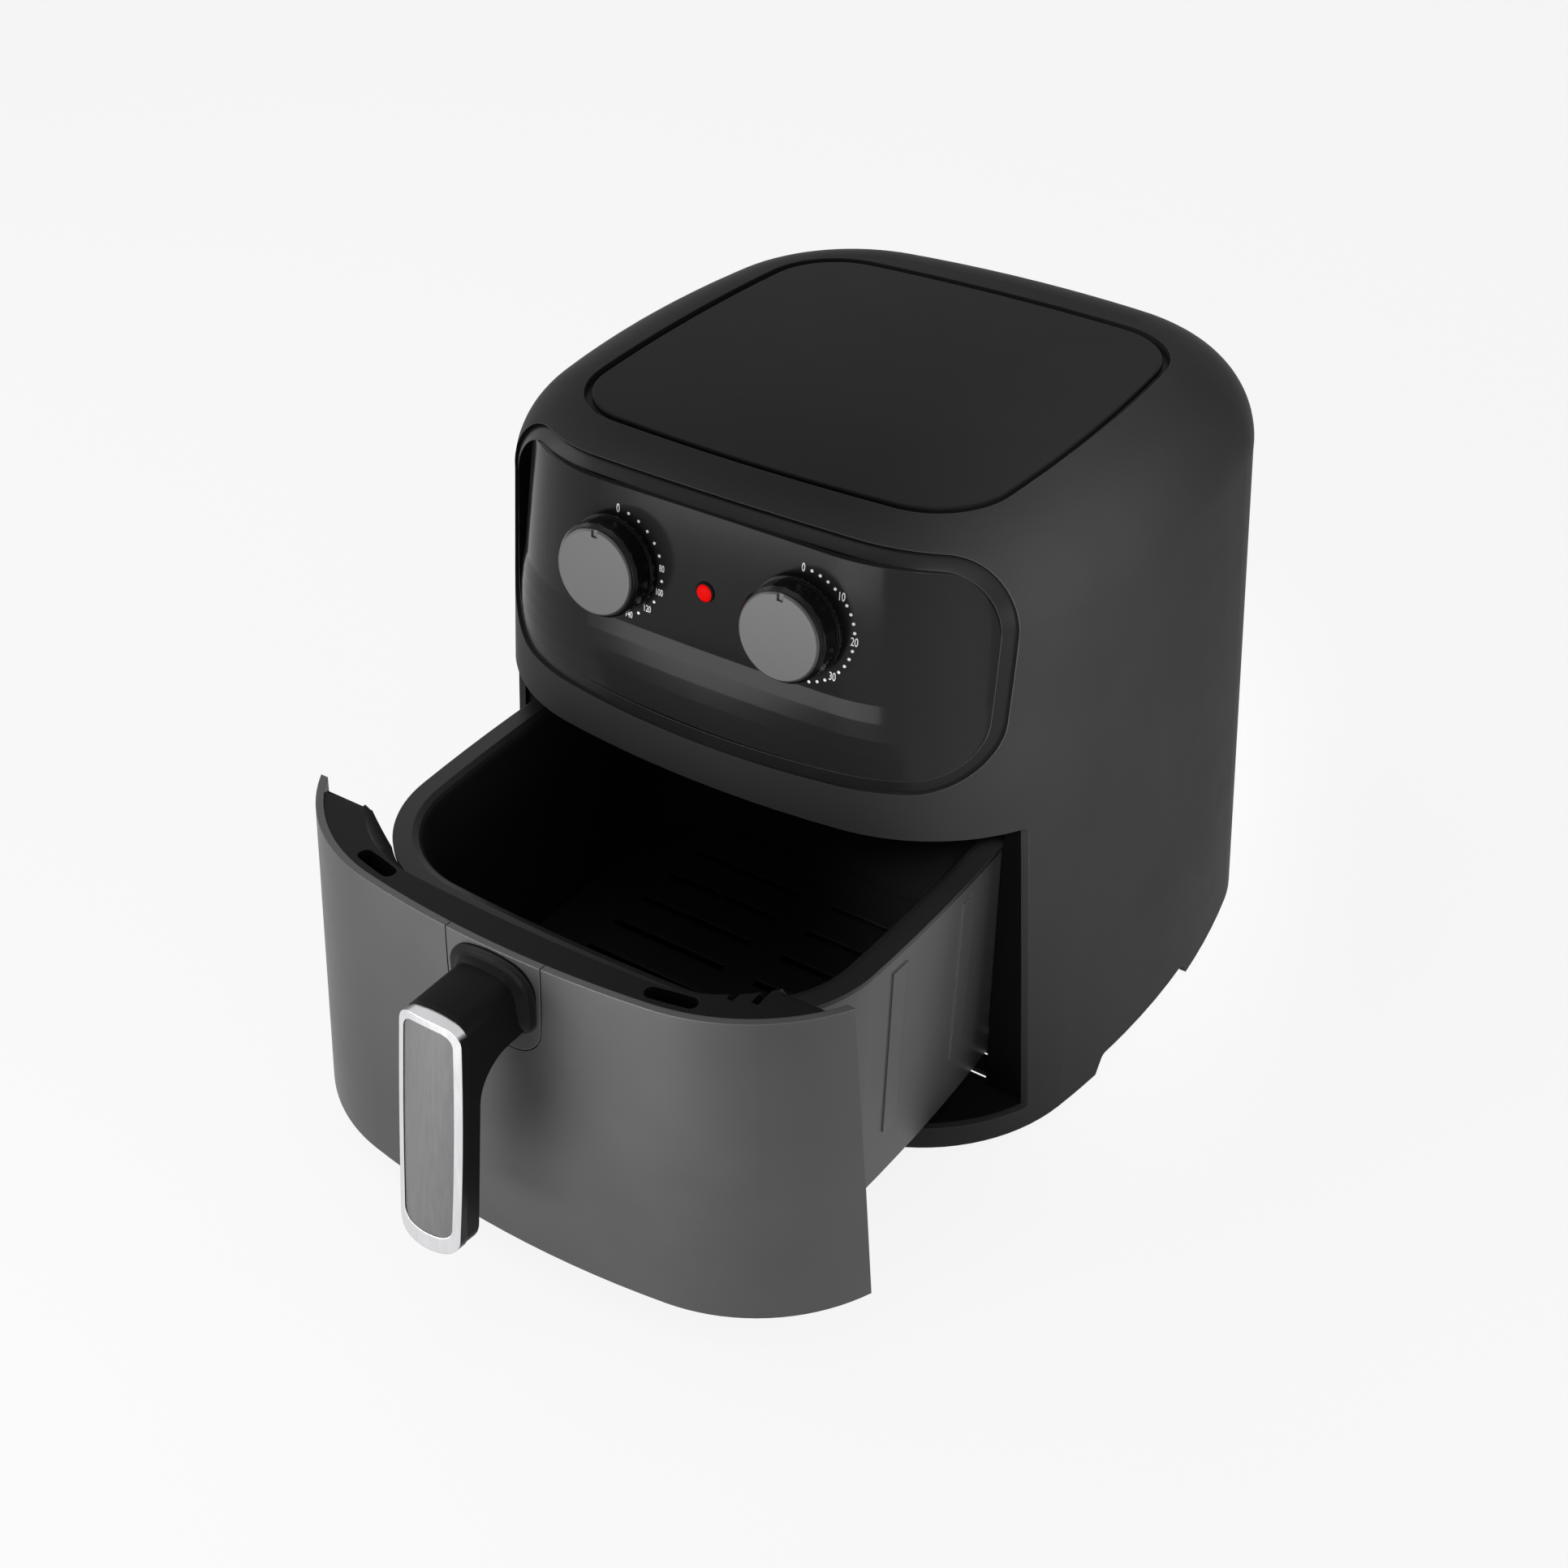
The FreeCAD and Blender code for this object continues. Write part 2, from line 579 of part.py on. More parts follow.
def knob_pieces(side, x):
    prism = doc.addObject("Part::Prism", side + "_facets")
    prism.Polygon = 20
    bind(prism, "Circumradius", "knob_radius")
    bind(prism, "Height", f"knob_height + {SKIRT}")
    top = f"knob_height + {SKIRT}"
    skirt_radius = "knob_radius + 0.8"
    limits = turned(side + "_limits", [("0", "0"), (skirt_radius, "0"), (skirt_radius, f"{SKIRT}"),
                                       ("knob_radius", f"{SKIRT + 0.6}"), ("knob_radius", f"{top} - 1.5"),
                                       ("knob_radius - 1.2", top), ("0", top)])
    skirt = straight(side + "_skirt", skirt_radius, "0", f"{SKIRT}")
    faceted = common(side + "_faceted", prism, limits)
    bore = straight(side + "_bore", "shaft_radius", "-1", "9")
    knob = cut(side + "_knob_body", fuse(side + "_knob_solid", faceted, skirt), bore)
    cap = turned(side + "_disc", [("0", top), ("knob_radius - 1.6", top), ("knob_radius - 1.6", f"{top} + 1"),
                                  ("knob_radius - 2.2", f"{top} + 1.6"), ("0", f"{top} + 1.6")])
    notch = box(side + "_notch", ("-1.2", "1.2"), ("knob_radius - 4.4", "knob_radius"),
                (f"{top} + 0.7", f"{top} + 3"))
    shaft = straight(side + "_rod", "shaft_radius", "-14", "9")
    for name, item in (("knob", knob), ("cap", cut(side + "_cap_disc", cap, notch)), ("shaft", shaft)):
        place(item, x, f"-({DIAL_FRONT} + knob_clear * cos(dial_lean * 1deg))",
              "dial_height + knob_clear * sin(dial_lean * 1deg)", V(1, 0, 0), LEAN)
        keep(f"{side}_{name}", item)


for side, x in SIDES:
    knob_pieces(side, x)

# Behind the panel: a bracket on four posts with the thermostat and the wind-up timer.

BRACKET_HALF = "dial_spacing + 31"
POST_X = "dial_spacing + 21"
bracket_plate = box("bracket_plate", (f"-({BRACKET_HALF})", BRACKET_HALF), ("-20", "20"), ("-13", "-11.5"))
bracket_posts = [rod(f"post{i}", "z", "3.5", "-11.5", "0", (x, y))
                 for i, (x, y) in enumerate((x, y) for x in (f"-({POST_X})", POST_X) for y in ("-14", "14"))]
bracket_holes = [rod(f"bracket_hole{i}", "z", "shaft_radius + 2", "-20", "0", (x, "0"))
                 for i, x in enumerate(("-dial_spacing", "dial_spacing"))]
bracket_holes.append(rod("bracket_lamp", "z", "lamp_radius * 0.8", "-20", "0", ("0", "0")))
bracket_solid = fuse("bracket_solid", bracket_plate, *bracket_posts)
bracket = on_panel(cut("bracket_blank", bracket_solid, *bracket_holes), "0")
keep("control_bracket", common("bracket_seated", bracket, face_back))


def control_unit(side, depth, half):
    """A control's case behind the bracket, with a bush for the knob's shaft."""
    case = box(side + "_case", (f"-{half}", f"{half}"), (f"-{half}", f"{half}"), (f"-13 - {depth}", "-13"))
    bush = straight(side + "_bush", "shaft_radius + 2", "-14", "-9")
    hole = straight(side + "_clearance", "shaft_radius + running_gap", "-20", "0")
    return cut(side + "_unit_body", fuse(side + "_unit_solid", case, bush), hole)


for side, x in SIDES:
    unit = control_unit(side, 24 if side == "timer" else 16, 18 if side == "timer" else 15)
    keep("timer_unit" if side == "timer" else "thermostat_unit", on_panel(unit, x))
bell = turned("bell", [("0", "-46"), ("8", "-46"), ("19", "-42"), ("21", "-38.5"), ("20", "-38.5"),
                       ("18", "-41"), ("7.6", "-44.8"), ("3", "-44.8"), ("3", "-37"), ("0", "-37")])
keep("timer_bell", on_panel(bell, "dial_spacing"))

# Base: a vented plate with runners for the drawer and posts for four rubber feet.

FOOT_SPOTS = [(x, y) for x in ("-foot_spread", "foot_spread") for y in ("-foot_reach", "foot_reach")]
PLATE_LOW = "sill_height - plate_thick"

plate_slab = box("plate_slab", ("-200", "200"), ("-200", "200"), (PLATE_LOW, "sill_height"))
plate = common("base_blank", fit_form, plate_slab)
runners = [box(f"runner{i}", (f"{x} - 4", f"{x} + 4"), ("-bottom_half_depth + 22.5", "liner_back - 6"),
               ("sill_height", "tub_floor - 0.5")) for i, x in enumerate(("-runner_spread", "runner_spread"))]
posts = [rod(f"foot_post{i}", "z", "12", "foot_height", PLATE_LOW, spot) for i, spot in enumerate(FOOT_SPOTS)]
VENT_COLUMNS = ("-foot_spread - 11", "-22", "22", "foot_spread + 11")
VENT_ROWS = [f"-foot_reach + 16 + {i} * vent_pitch" for i in range(10)]
vents = [box(f"vent{i}", (f"{x} - 7", f"{x} + 7"), (f"{y} - 1.6", f"{y} + 1.6"), ("0", "sill_height + 1"))
         for i, (x, y) in enumerate((x, y) for x in VENT_COLUMNS for y in VENT_ROWS)]
sockets = [rod(f"socket{i}", "z", "10", "0", "foot_height + 1", spot) for i, spot in enumerate(FOOT_SPOTS)]
base_solid = fuse("base_solid", plate, *runners, *posts)
keep("base_plate", cut("base", base_solid, *vents, *sockets))

foot = [("0", "0"), ("8.5", "0"), ("9.6", "1.2"), ("10", "foot_height"), ("10", "foot_height + 1"),
        ("0", "foot_height + 1")]
feet = [place(turned(f"foot{i}", foot), x, y, "0") for i, (x, y) in enumerate(FOOT_SPOTS)]
keep("rubber_feet", fuse("feet", *feet))

# Cavity: side and rear walls with a front flange, under a plate with the hot air port.

LINER_TOP = "lip_height + 0.5"
CAVITY_HALF = "(seam_depth + liner_back + 60) / 2"
CAVITY_FORWARD = f"{CAVITY_HALF} - liner_back"


def cavity_form(name, grow, low, high):
    """The cavity in plan, with rounded rear corners; it runs out through the front."""
    return plan_oval(name, f"liner_half_width + {grow}", f"{CAVITY_HALF} + {grow}", f"liner_corner + {grow}",
                     "tub_bow * 4", low, high, CAVITY_FORWARD)


behind_flange = box("behind_flange", ("-200", "200"), ("-seam_depth + 3", "200"), ("0", "300"))
cavity_outside = cavity_form("cavity_outside", "tub_sheet", "sill_height", LINER_TOP)
walls = common("liner_outside", cavity_outside, behind_flange)
hollow = cavity_form("cavity_inside", "0", "0", "300")
flange_slab = box("flange_slab", ("-200", "200"), ("-seam_depth + 1.8", "-seam_depth + 3"),
                  ("sill_height", LINER_TOP))
flange = common("liner_flange", fit_form, flange_slab)
SWITCH_X = "switch_side"
SWITCH_Z = "(lip_height - switch_drop)"
pin_hole = rod("pin_hole", "y", "2.5 + running_gap", "50", "liner_back + 9.5", (SWITCH_X, SWITCH_Z))
keep("cavity_liner", cut("liner", fuse("liner_solid", walls, flange), hollow, pin_hole))

mid_slab = box("mid_slab", ("-200", "200"), ("-200", "200"), (LINER_TOP, f"{LINER_TOP} + mid_sheet"))
port = rod("port", "z", "hot_port", "0", "300", ("0", "-heat_forward"))
keep("mid_plate", cut("mid", common("mid_blank", fit_form, mid_slab), port))

# Drawer switch: the shut tub stops just short of a sprung pin in the rear wall.

switch_case = box("switch_case", (f"{SWITCH_X} - 12", f"{SWITCH_X} + 12"),
                  ("liner_back + tub_sheet", "liner_back + 14"), (f"{SWITCH_Z} - 8", f"{SWITCH_Z} + 8"))
keep("drawer_switch", cut("switch", switch_case, pin_hole))
keep("switch_pin", rod("pin", "y", "2.5", "liner_back - 2.6", "liner_back + 6", (SWITCH_X, SWITCH_Z)))

# Heating chamber over the port: shroud, guard, element and the two fans on one shaft.

HEAT = ("0", "-heat_forward")
HEAT_LOW = f"{LINER_TOP} + mid_sheet"
HEAT_TOP = f"{HEAT_LOW} + heat_height"
FAN_LOW = f"{HEAT_LOW} + 25"
COOL_LOW = f"{HEAT_TOP} + 6"
MOTOR_LOW = f"{HEAT_TOP} + 18"

shroud = turned("shroud", [("heat_radius", HEAT_LOW), ("heat_radius + 7", HEAT_LOW),
                           ("heat_radius + 7", f"{HEAT_LOW} + 1"), ("heat_radius + 1", f"{HEAT_LOW} + 1"),
                           ("heat_radius + 1", f"{HEAT_TOP} - 6"),
                           ("heat_radius - 5", HEAT_TOP), ("6", HEAT_TOP), ("6", f"{HEAT_TOP} - 1"),
                           ("heat_radius - 5.4", f"{HEAT_TOP} - 1"), ("heat_radius", f"{HEAT_TOP} - 6.4")])
keep("heat_shroud", place(shroud, "0", "-heat_forward", "0"))

guard_ring = cut("guard_ring", rod("guard_outside", "z", "hot_port", f"{LINER_TOP} - 2.5", HEAT_LOW, HEAT),
                 rod("guard_inside", "z", "hot_port - 2.5", "0", "300", HEAT))
guard_bars = []
for index in range(8):
    across = f"((hot_port - 14) * {round(index / 3.5 - 1, 4)})"
    reach = f"sqrt((hot_port - 1)^2 - {across}^2)"
    guard_bars.append(box(f"guard_bar{index}", (f"{across} - 1", f"{across} + 1"),
                          (f"-heat_forward - {reach}", f"-heat_forward + {reach}"),
                          (f"{LINER_TOP} - 2.5", f"{LINER_TOP} - 0.5")))
keep("heater_guard", fuse("guard", guard_ring, *guard_bars))

TUBE_HEIGHT = f"{HEAT_LOW} + 13"
inner_ring = num("element_radius")
outer_ring = num("element_radius + element_pitch")
turn_y = -num("element_gap")
turn_x = math.sqrt(((inner_ring + outer_ring) / 2) ** 2 - turn_y ** 2)
turn_angle = math.atan2(turn_y, turn_x) + 2 * math.pi
element = new_body("element")
route = new_sketch(element, "element_route", "XY_Plane", TUBE_HEIGHT)
route_arcs = [
    (V(0, 0, 0), outer_ring, 0, turn_angle),
    (V(turn_x, turn_y, 0), (outer_ring - inner_ring) / 2, turn_angle, turn_angle + math.pi),
    (V(0, 0, 0), inner_ring, 0, turn_angle),
]
route.addGeometry([Part.ArcOfCircle(Part.Circle(c, UP, q), s, e) for c, q, s, e in route_arcs], False)
rule = Sketcher.Constraint
route.addConstraint([rule("Tangent", 0, 2, 1, 1), rule("Tangent", 1, 2, 2, 2)])
route.addConstraint([rule("Coincident", i, 3, -1, 1) for i in (0, 2)])
route.addConstraint([rule("PointOnObject", i, 1, -1) for i in (0, 2)])
size_constraint(route, "outer_ring", rule("Radius", 0, outer_ring), "element_radius + element_pitch")
size_constraint(route, "inner_ring", rule("Radius", 2, inner_ring), "element_radius")
size_constraint(route, "turn_level", rule("DistanceY", 1, 3, -1, 1, -turn_y), "element_gap")
OUTER_RING = "element_radius + element_pitch"
tube_section = new_sketch(element, "element_section", "XZ_Plane", "0", OUTER_RING, TUBE_HEIGHT)
circle(tube_section, "element_tube")
doc.recompute()
element_pipe = element.newObject("PartDesign::AdditivePipe", "element_pipe")
element_pipe.Profile = tube_section
element_pipe.Spine = (route, ["Edge1", "Edge2", "Edge3"])
place(element, "0", "-heat_forward", "0")
SLEEVE = "element_tube + 0.7"
sleeves = [rod(f"element_sleeve{i}", "z", SLEEVE, f"{TUBE_HEIGHT} - ({SLEEVE})", f"{HEAT_TOP} - 1",
               (x, "-heat_forward")) for i, x in enumerate(("element_radius", OUTER_RING))]
keep("heating_element", fuse("element_solid", element, *sleeves))
clips = [box(f"element_clip{i}", ("-3", "3"), (f"{y} - heat_forward - 1", f"{y} - heat_forward + 1"),
             (f"{TUBE_HEIGHT} + element_tube + 0.05", f"{HEAT_TOP} - 1"))
         for i, y in enumerate(("element_radius", "-element_radius"))]
keep("element_clips", fuse("clips", *clips))


def fan(name, radius, low, rise, blades):
    """A disc with upright radial blades and a hub."""
    body = new_body(name)
    doc.recompute()
    pad(body, circle(new_sketch(body, name + "_disc", "XY_Plane", low), radius), "1.2")
    doc.recompute()
    pad(body, circle(new_sketch(body, name + "_hub", "XY_Plane", low), "9"), rise)
    blade = new_sketch(body, name + "_blade", "XY_Plane", low)
    polygon(blade, [("7", "-1"), (f"{radius} - 1", "9"), (f"{radius} - 1", "10.4"), ("7", "1")])
    doc.recompute()
    blade_pad = pad(body, blade, rise)
    doc.recompute()
    pattern = body.newObject("PartDesign::PolarPattern", name + "_blades")
    pattern.Originals = [blade_pad]
    pattern.Axis = (blade, ["N_Axis"])
    pattern.Angle = 360
    pattern.Occurrences = blades
    body.Tip = pattern
    return place(body, "0", "-heat_forward", "0")


hot_wheel = fan("hot_wheel", "fan_radius", FAN_LOW, "11", 10)
cool_wheel = fan("cool_wheel", "(fan_radius - 4)", COOL_LOW, "8", 10)
shaft_bore = rod("fan_bore", "z", "4", "0", "400", HEAT)
keep("hot_fan", cut("hot_fan_wheel", hot_wheel, shaft_bore))
keep("cooling_fan", cut("cooling_fan_wheel", cool_wheel, shaft_bore))
keep("fan_shaft", rod("fan_rod", "z", "4", f"{FAN_LOW} - 6", f"{MOTOR_LOW} + 20", HEAT))
fan_nut = doc.addObject("Part::Prism", "fan_nut_blank")
fan_nut.Polygon = 6
bind(fan_nut, "Circumradius", "8")
bind(fan_nut, "Height", "5")
place(fan_nut, "0", "-heat_forward", f"{FAN_LOW} - 5")
keep("fan_nut", cut("fan_nut_bored", fan_nut, shaft_bore))

motor = turned("motor", [("4 + running_gap", MOTOR_LOW), ("12", MOTOR_LOW), ("12", f"{MOTOR_LOW} + 2"),
                         ("32", f"{MOTOR_LOW} + 2"), ("34", f"{MOTOR_LOW} + 4"), ("34", f"{MOTOR_LOW} + 24"),
                         ("30", f"{MOTOR_LOW} + 28"), ("0", f"{MOTOR_LOW} + 28"), ("0", f"{MOTOR_LOW} + 22"),
                         ("4 + running_gap", f"{MOTOR_LOW} + 22")])
keep("fan_motor", place(motor, "0", "-heat_forward", "0"))
carrier = rod("carrier_disc", "z", "fan_radius + 14", f"{MOTOR_LOW} + 0.5", f"{MOTOR_LOW} + 2", HEAT)
LEG_SIDES = ("-(fan_radius - 11)", "(fan_radius - 11)")
legs = [rod(f"carrier_leg{i}", "z", "3.5", HEAT_TOP, f"{MOTOR_LOW} + 0.5", (x, f"{y} - heat_forward"))
        for i, (x, y) in enumerate((x, y) for x in LEG_SIDES for y in LEG_SIDES)]
carrier_hole = rod("carrier_hole", "z", "12", "0", "400", HEAT)
keep("motor_bracket", cut("motor_carrier", fuse("carrier", carrier, *legs), carrier_hole))
cutout = rod("thermal_cutout", "z", "8", HEAT_TOP, f"{HEAT_TOP} + 4.5", ("fan_radius + 12", "-heat_forward"))
keep("thermal_fuse", cutout)
terminal = box("terminal_block_body", ("heat_radius - 14", "heat_radius + 20"),
               ("heat_radius - 14", "heat_radius"), (HEAT_LOW, f"{HEAT_LOW} + 12"))
ways = [rod(f"terminal_way{i}", "z", "3", f"{HEAT_LOW} + 6", f"{HEAT_LOW} + 20",
            (f"heat_radius + {x}", "heat_radius - 7")) for i, x in enumerate((-8, 3, 14))]
keep("terminal_block", cut("terminals", terminal, *ways))

# Rear: an air duct behind the shroud, the louvred outlet and the cord's inlet bush.

DUCT_HALF = "(grille_half_width - 4)"
duct_block = box("duct_block", (f"-{DUCT_HALF}", DUCT_HALF), ("heat_radius - heat_forward + 9", "200"),
                 (f"{GRILLE_LOW} + 2", f"{GRILLE_HIGH} - 2"))
duct_hole = box("duct_hole", (f"-{DUCT_HALF} + 1.5", f"{DUCT_HALF} - 1.5"), ("0", "200"),
                (f"{GRILLE_LOW} + 3.5", f"{GRILLE_HIGH} - 3.5"))
keep("air_duct", cut("duct", common("duct_solid", inner_form, duct_block), duct_hole))
LOUVRE_HALF = "(grille_half_width - 8)"
LOUVRE_PITCH = "(grille_tall - 14) / 6"
louvres = []
for index in range(7):
    low = f"{GRILLE_LOW} + 6 + {index} * {LOUVRE_PITCH}"
    louvres.append(box(f"louvre{index}", (f"-{LOUVRE_HALF}", LOUVRE_HALF), ("60", "200"),
                       (low, f"{low} + 3.8")))
keep("rear_grille", cut("grille", common("grille_skin", skin, grille_block), *louvres))

BUSH_FACE = skin_back(CORD_SPOT[1])
bush_neck = rod("bush_neck", "y", "7", f"{BUSH_FACE} - 9", f"{BUSH_FACE} + 3", CORD_SPOT)
bush_collar = rod("bush_collar", "y", "10", f"{BUSH_FACE} - 2.5", f"{BUSH_FACE} + 3", CORD_SPOT)
bush_flange = cut("bush_flange", bush_collar, outer_form)
bush_bore = rod("bush_bore", "y", "3.6", "100", "200", CORD_SPOT)
keep("cord_bush", cut("inlet_bush", fuse("bush_solid", bush_neck, bush_flange), bush_bore))

# Drawer: the front is the piece of skin that fills the opening, with a handle plate let into it.

FRONT_LOW = "sill_height + drawer_gap"
FRONT_HIGH = "lip_height - drawer_gap"
FRONT_BACK = "-seam_depth - seam_gap"
front_slab = box("front_slab", ("-200", "200"), ("-200", FRONT_BACK), (FRONT_LOW, FRONT_HIGH))
MOUNT_TOP = f"2 * ({FRONT_HIGH}) - mount_low"
MOUNT_BOW = "mount_half_width * 44"
mount_hole = front_oval("mount_hole", "mount_half_width + seam_line", "mount_low - seam_line",
                        f"{MOUNT_TOP} + seam_line", "mount_corner + seam_line", "-200", "-100", MOUNT_BOW)
mount_block = front_oval("mount_block", "mount_half_width", "mount_low", MOUNT_TOP, "mount_corner",
                         "-200", "-100", MOUNT_BOW)
front_skin = common("front_skin", skin, front_slab)
keep("drawer_front", cut("drawer_face", front_skin, mount_hole), drawer=True)


def tub_section(body, name, height, inset):
    """The tub's outline at a height, moved inwards; it narrows towards its floor."""
    drawn_in = f"({inset} + tub_draft * (rim_height - ({height})) / (rim_height - tub_floor))"
    sketch = new_sketch(body, name, "XY_Plane", height, "0", "-tub_forward")
    return oval(sketch, f"tub_half_width - {drawn_in}", f"tub_half_depth - {drawn_in}", "tub_bow", "tub_bow",
                f"tub_corner - {drawn_in}")


def tub_form(name, inset, low, high, toe="0", toe_height="0", flare=()):
    """A drafted, rounded solid; a toe bevels its floor and a flare rolls its rim out."""
    body = new_body(name)
    sketches = [tub_section(body, name + "_floor", low, f"{inset} + {toe}")]
    if toe != "0":
        sketches.append(tub_section(body, name + "_toe", f"{low} + {toe_height}", inset))
    wider = "0"
    for index, (height, wider) in enumerate(flare):
        sketches.append(tub_section(body, f"{name}_flare{index}", height, f"{inset} - {wider}"))
    sketches.append(tub_section(body, name + "_rim", high, f"{inset} - {wider}"))
    doc.recompute()
    loft(body, sketches)
    return body


tub_outside = tub_form("tub_outside", "0", "tub_floor", "rim_height")
tub_inside = tub_form("tub_inside", "tub_sheet", "tub_floor + tub_sheet", "rim_height + 1")
rib_form = tub_form("rib_form", "-rib_rise", "tub_floor", "rim_height")
RIB_SPOTS = ("-tub_forward - 38", "-tub_forward + 11")
rib_blocks = [box(f"rib{i}", ("-200", "200"), (f"{y} - rib_width / 2", f"{y} + rib_width / 2"),
                  ("tub_floor + 24", "rim_height - 7")) for i, y in enumerate(RIB_SPOTS)]
ribs = common("ribs", rib_form, fuse("rib_slabs", *rib_blocks))
keep("drawer_tub", cut("tub", fuse("tub_solid", tub_outside, ribs), tub_inside), drawer=True)

pan_outside = tub_form("pan_outside", "pan_inset", "pan_floor", "rim_height", "7", "7")
ROLLED = (("rim_height - 2", "0"), ("rim_height", "pan_sheet * 0.3"),
          ("rim_height + pan_sheet", "pan_sheet * 1.4"), ("rim_height + 2 * pan_sheet", "pan_sheet * 4"))
pan_inside = tub_form("pan_inside", "pan_inset + pan_sheet", "pan_floor + pan_sheet", "rim_height + 6",
                      "7", "7", ROLLED)
pan_rim = plan_oval("pan_rim", "tub_half_width + 0.5", "tub_half_depth + 0.5", "tub_corner + 0.5", "tub_bow",
                    "rim_height", "rim_height + 2 * pan_sheet", "tub_forward")
keep("cooking_pan", cut("pan", fuse("pan_solid", pan_outside, pan_rim), pan_inside), drawer=True)

# Collar between the drawer front and the pan: dished, with two vent slots.

COLLAR_TOP = f"{FRONT_HIGH} - 0.8"
collar_slab = box("collar_slab", ("-200", "200"), ("-200", f"{FRONT_BACK} - 1"),
                  ("rim_height - 3", COLLAR_TOP))
collar_solid = common("collar_solid", inner_form, collar_slab)
dish = new_body("dish")
dish_sketches = []
for name, height, wider, longer in (("dish_low", "rim_height + 2", "1", "1"),
                                    ("dish_high", COLLAR_TOP, "collar_side", "collar_front")):
    sketch = new_sketch(dish, name, "XY_Plane", height, "0", "-tub_forward")
    dish_sketches.append(oval(sketch, f"tub_half_width + {wider}", f"tub_half_depth + {longer}",
                              "tub_bow", "tub_bow", f"tub_corner + {wider}"))
doc.recompute()
loft(dish, dish_sketches)
pan_seat = plan_oval("pan_seat", "tub_half_width + 1", "tub_half_depth + 1", "tub_corner + 1", "tub_bow",
                     "0", "rim_height + 2.5", "tub_forward")
SLOT_LINE = f"slot_inset - {skin_front(COLLAR_TOP)}"
slots = []
for index, side_sign in enumerate((-1, 1)):
    slot = plan_oval(f"slot{index}", "10", "3.2", "3", "200", "rim_height - 20", "rim_height + 60", "0")
    slots.append(place(slot, f"{side_sign} * slot_spread", SLOT_LINE, "0", UP, 12.0 * side_sign))
CLIP_SPOTS = (("(tub_half_width - 25)", "(tub_half_depth + 3.5)"),
              ("(tub_half_width - 17)", "(tub_half_depth + 0.5)"))
clip_slots = [box(f"clip_slot{i}", (x, f"{x} + 3"), (f"-tub_forward - {y}", f"-tub_forward - {y} + 13"),
                  (f"{COLLAR_TOP} - 7", "lip_height")) for i, (x, y) in enumerate(CLIP_SPOTS)]
TUB_SIDES = ("-tub_half_width", "tub_half_width")
end_steps = [box(f"end_step{i}", (f"{x} - 12", f"{x} + 12"), (f"{FRONT_BACK} - 7", FRONT_BACK),
                 (f"{COLLAR_TOP} - 5", "lip_height")) for i, x in enumerate(TUB_SIDES)]
collar = cut("collar", collar_solid, dish, pan_seat, *slots, *clip_slots, *end_steps)
keep("drawer_collar", collar, drawer=True)

# Handle: an arm and grip in one profile, with a bright frame and an inlaid face.

keep("handle_plate", common("handle_seat", front_skin, mount_block), drawer=True)

ARM_LOW = "grip_top - arm_tall"
ARM_MID = "grip_top - arm_tall / 2"
GRIP_FOOT = "grip_top - 2 * trim_half_length + 1.5"
FACE_SLOPE = "tan(grip_lean * 1deg)"


def grip_depth(height, behind):
    """How far forward the grip is at a height, measured back from its leaning face."""
    return f"(grip_ahead + (grip_top - ({height})) * {FACE_SLOPE} - ({behind}) / cos(grip_lean * 1deg))"


GRIP_REAR = "trim_depth + grip_back"
handle = new_body("handle")
profile = new_sketch(handle, "handle_profile", "YZ_Plane", "-grip_half_width")
polygon(profile, [
    (f"-{skin_front('grip_top')} + 2", "grip_top"),
    (f"-{grip_depth('grip_top', '0')}", "grip_top"),
    (f"-{grip_depth(GRIP_FOOT, '0')}", GRIP_FOOT),
    (f"-{grip_depth(GRIP_FOOT, GRIP_REAR)}", GRIP_FOOT),
    (f"-{grip_depth(ARM_LOW, GRIP_REAR)}", ARM_LOW),
    (f"-{skin_front(ARM_LOW)} + 2", ARM_LOW),
])
doc.recompute()
handle_pad = pad(handle, profile, "2 * grip_half_width")


def at_rear(height):
    """A test for the edge across the back of the grip at a height."""
    level = num(height)
    back = -num(grip_depth(height, GRIP_REAR))
    return lambda edge: all(abs(v.Z - level) + abs(v.Y - back) < 0.01 for v in edge.Vertexes)


bend = round_edges(handle, handle_pad, "grip_bend", at_rear(ARM_LOW))
heel = round_edges(handle, bend, "grip_back * 0.8", at_rear(GRIP_FOOT))
side_x = num("grip_half_width")
arm_top = num("grip_top")
round_edges(handle, heel, "grip_round",
            lambda edge: abs(edge.CenterOfMass.x) > side_x - 0.01 and edge.CenterOfMass.z < arm_top - 20
            and edge.CenterOfMass.y < -num(skin_front(ARM_LOW)))


def grip_outline(sketch, inset, short="0"):
    """The handle's rounded outline seen from its front, moved inwards."""
    return oval(sketch, f"grip_half_width + 0.4 - ({inset})", f"trim_half_length - ({inset}) - {short}",
                "trim_half_length * 30", "grip_half_width * 3", f"grip_half_width * 0.5 - ({inset}) * 0.6")


GRIP_MIDDLE = "(grip_top - trim_half_length)"
arm_arch = new_body("arm_arch")
arch_outline = new_sketch(arm_arch, "arch_outline", "XZ_Plane", "seam_depth", "0", GRIP_MIDDLE)
grip_outline(arch_outline, "0.4")
doc.recompute()
pad(arm_arch, arch_outline, "trim_half_length * 2.4")

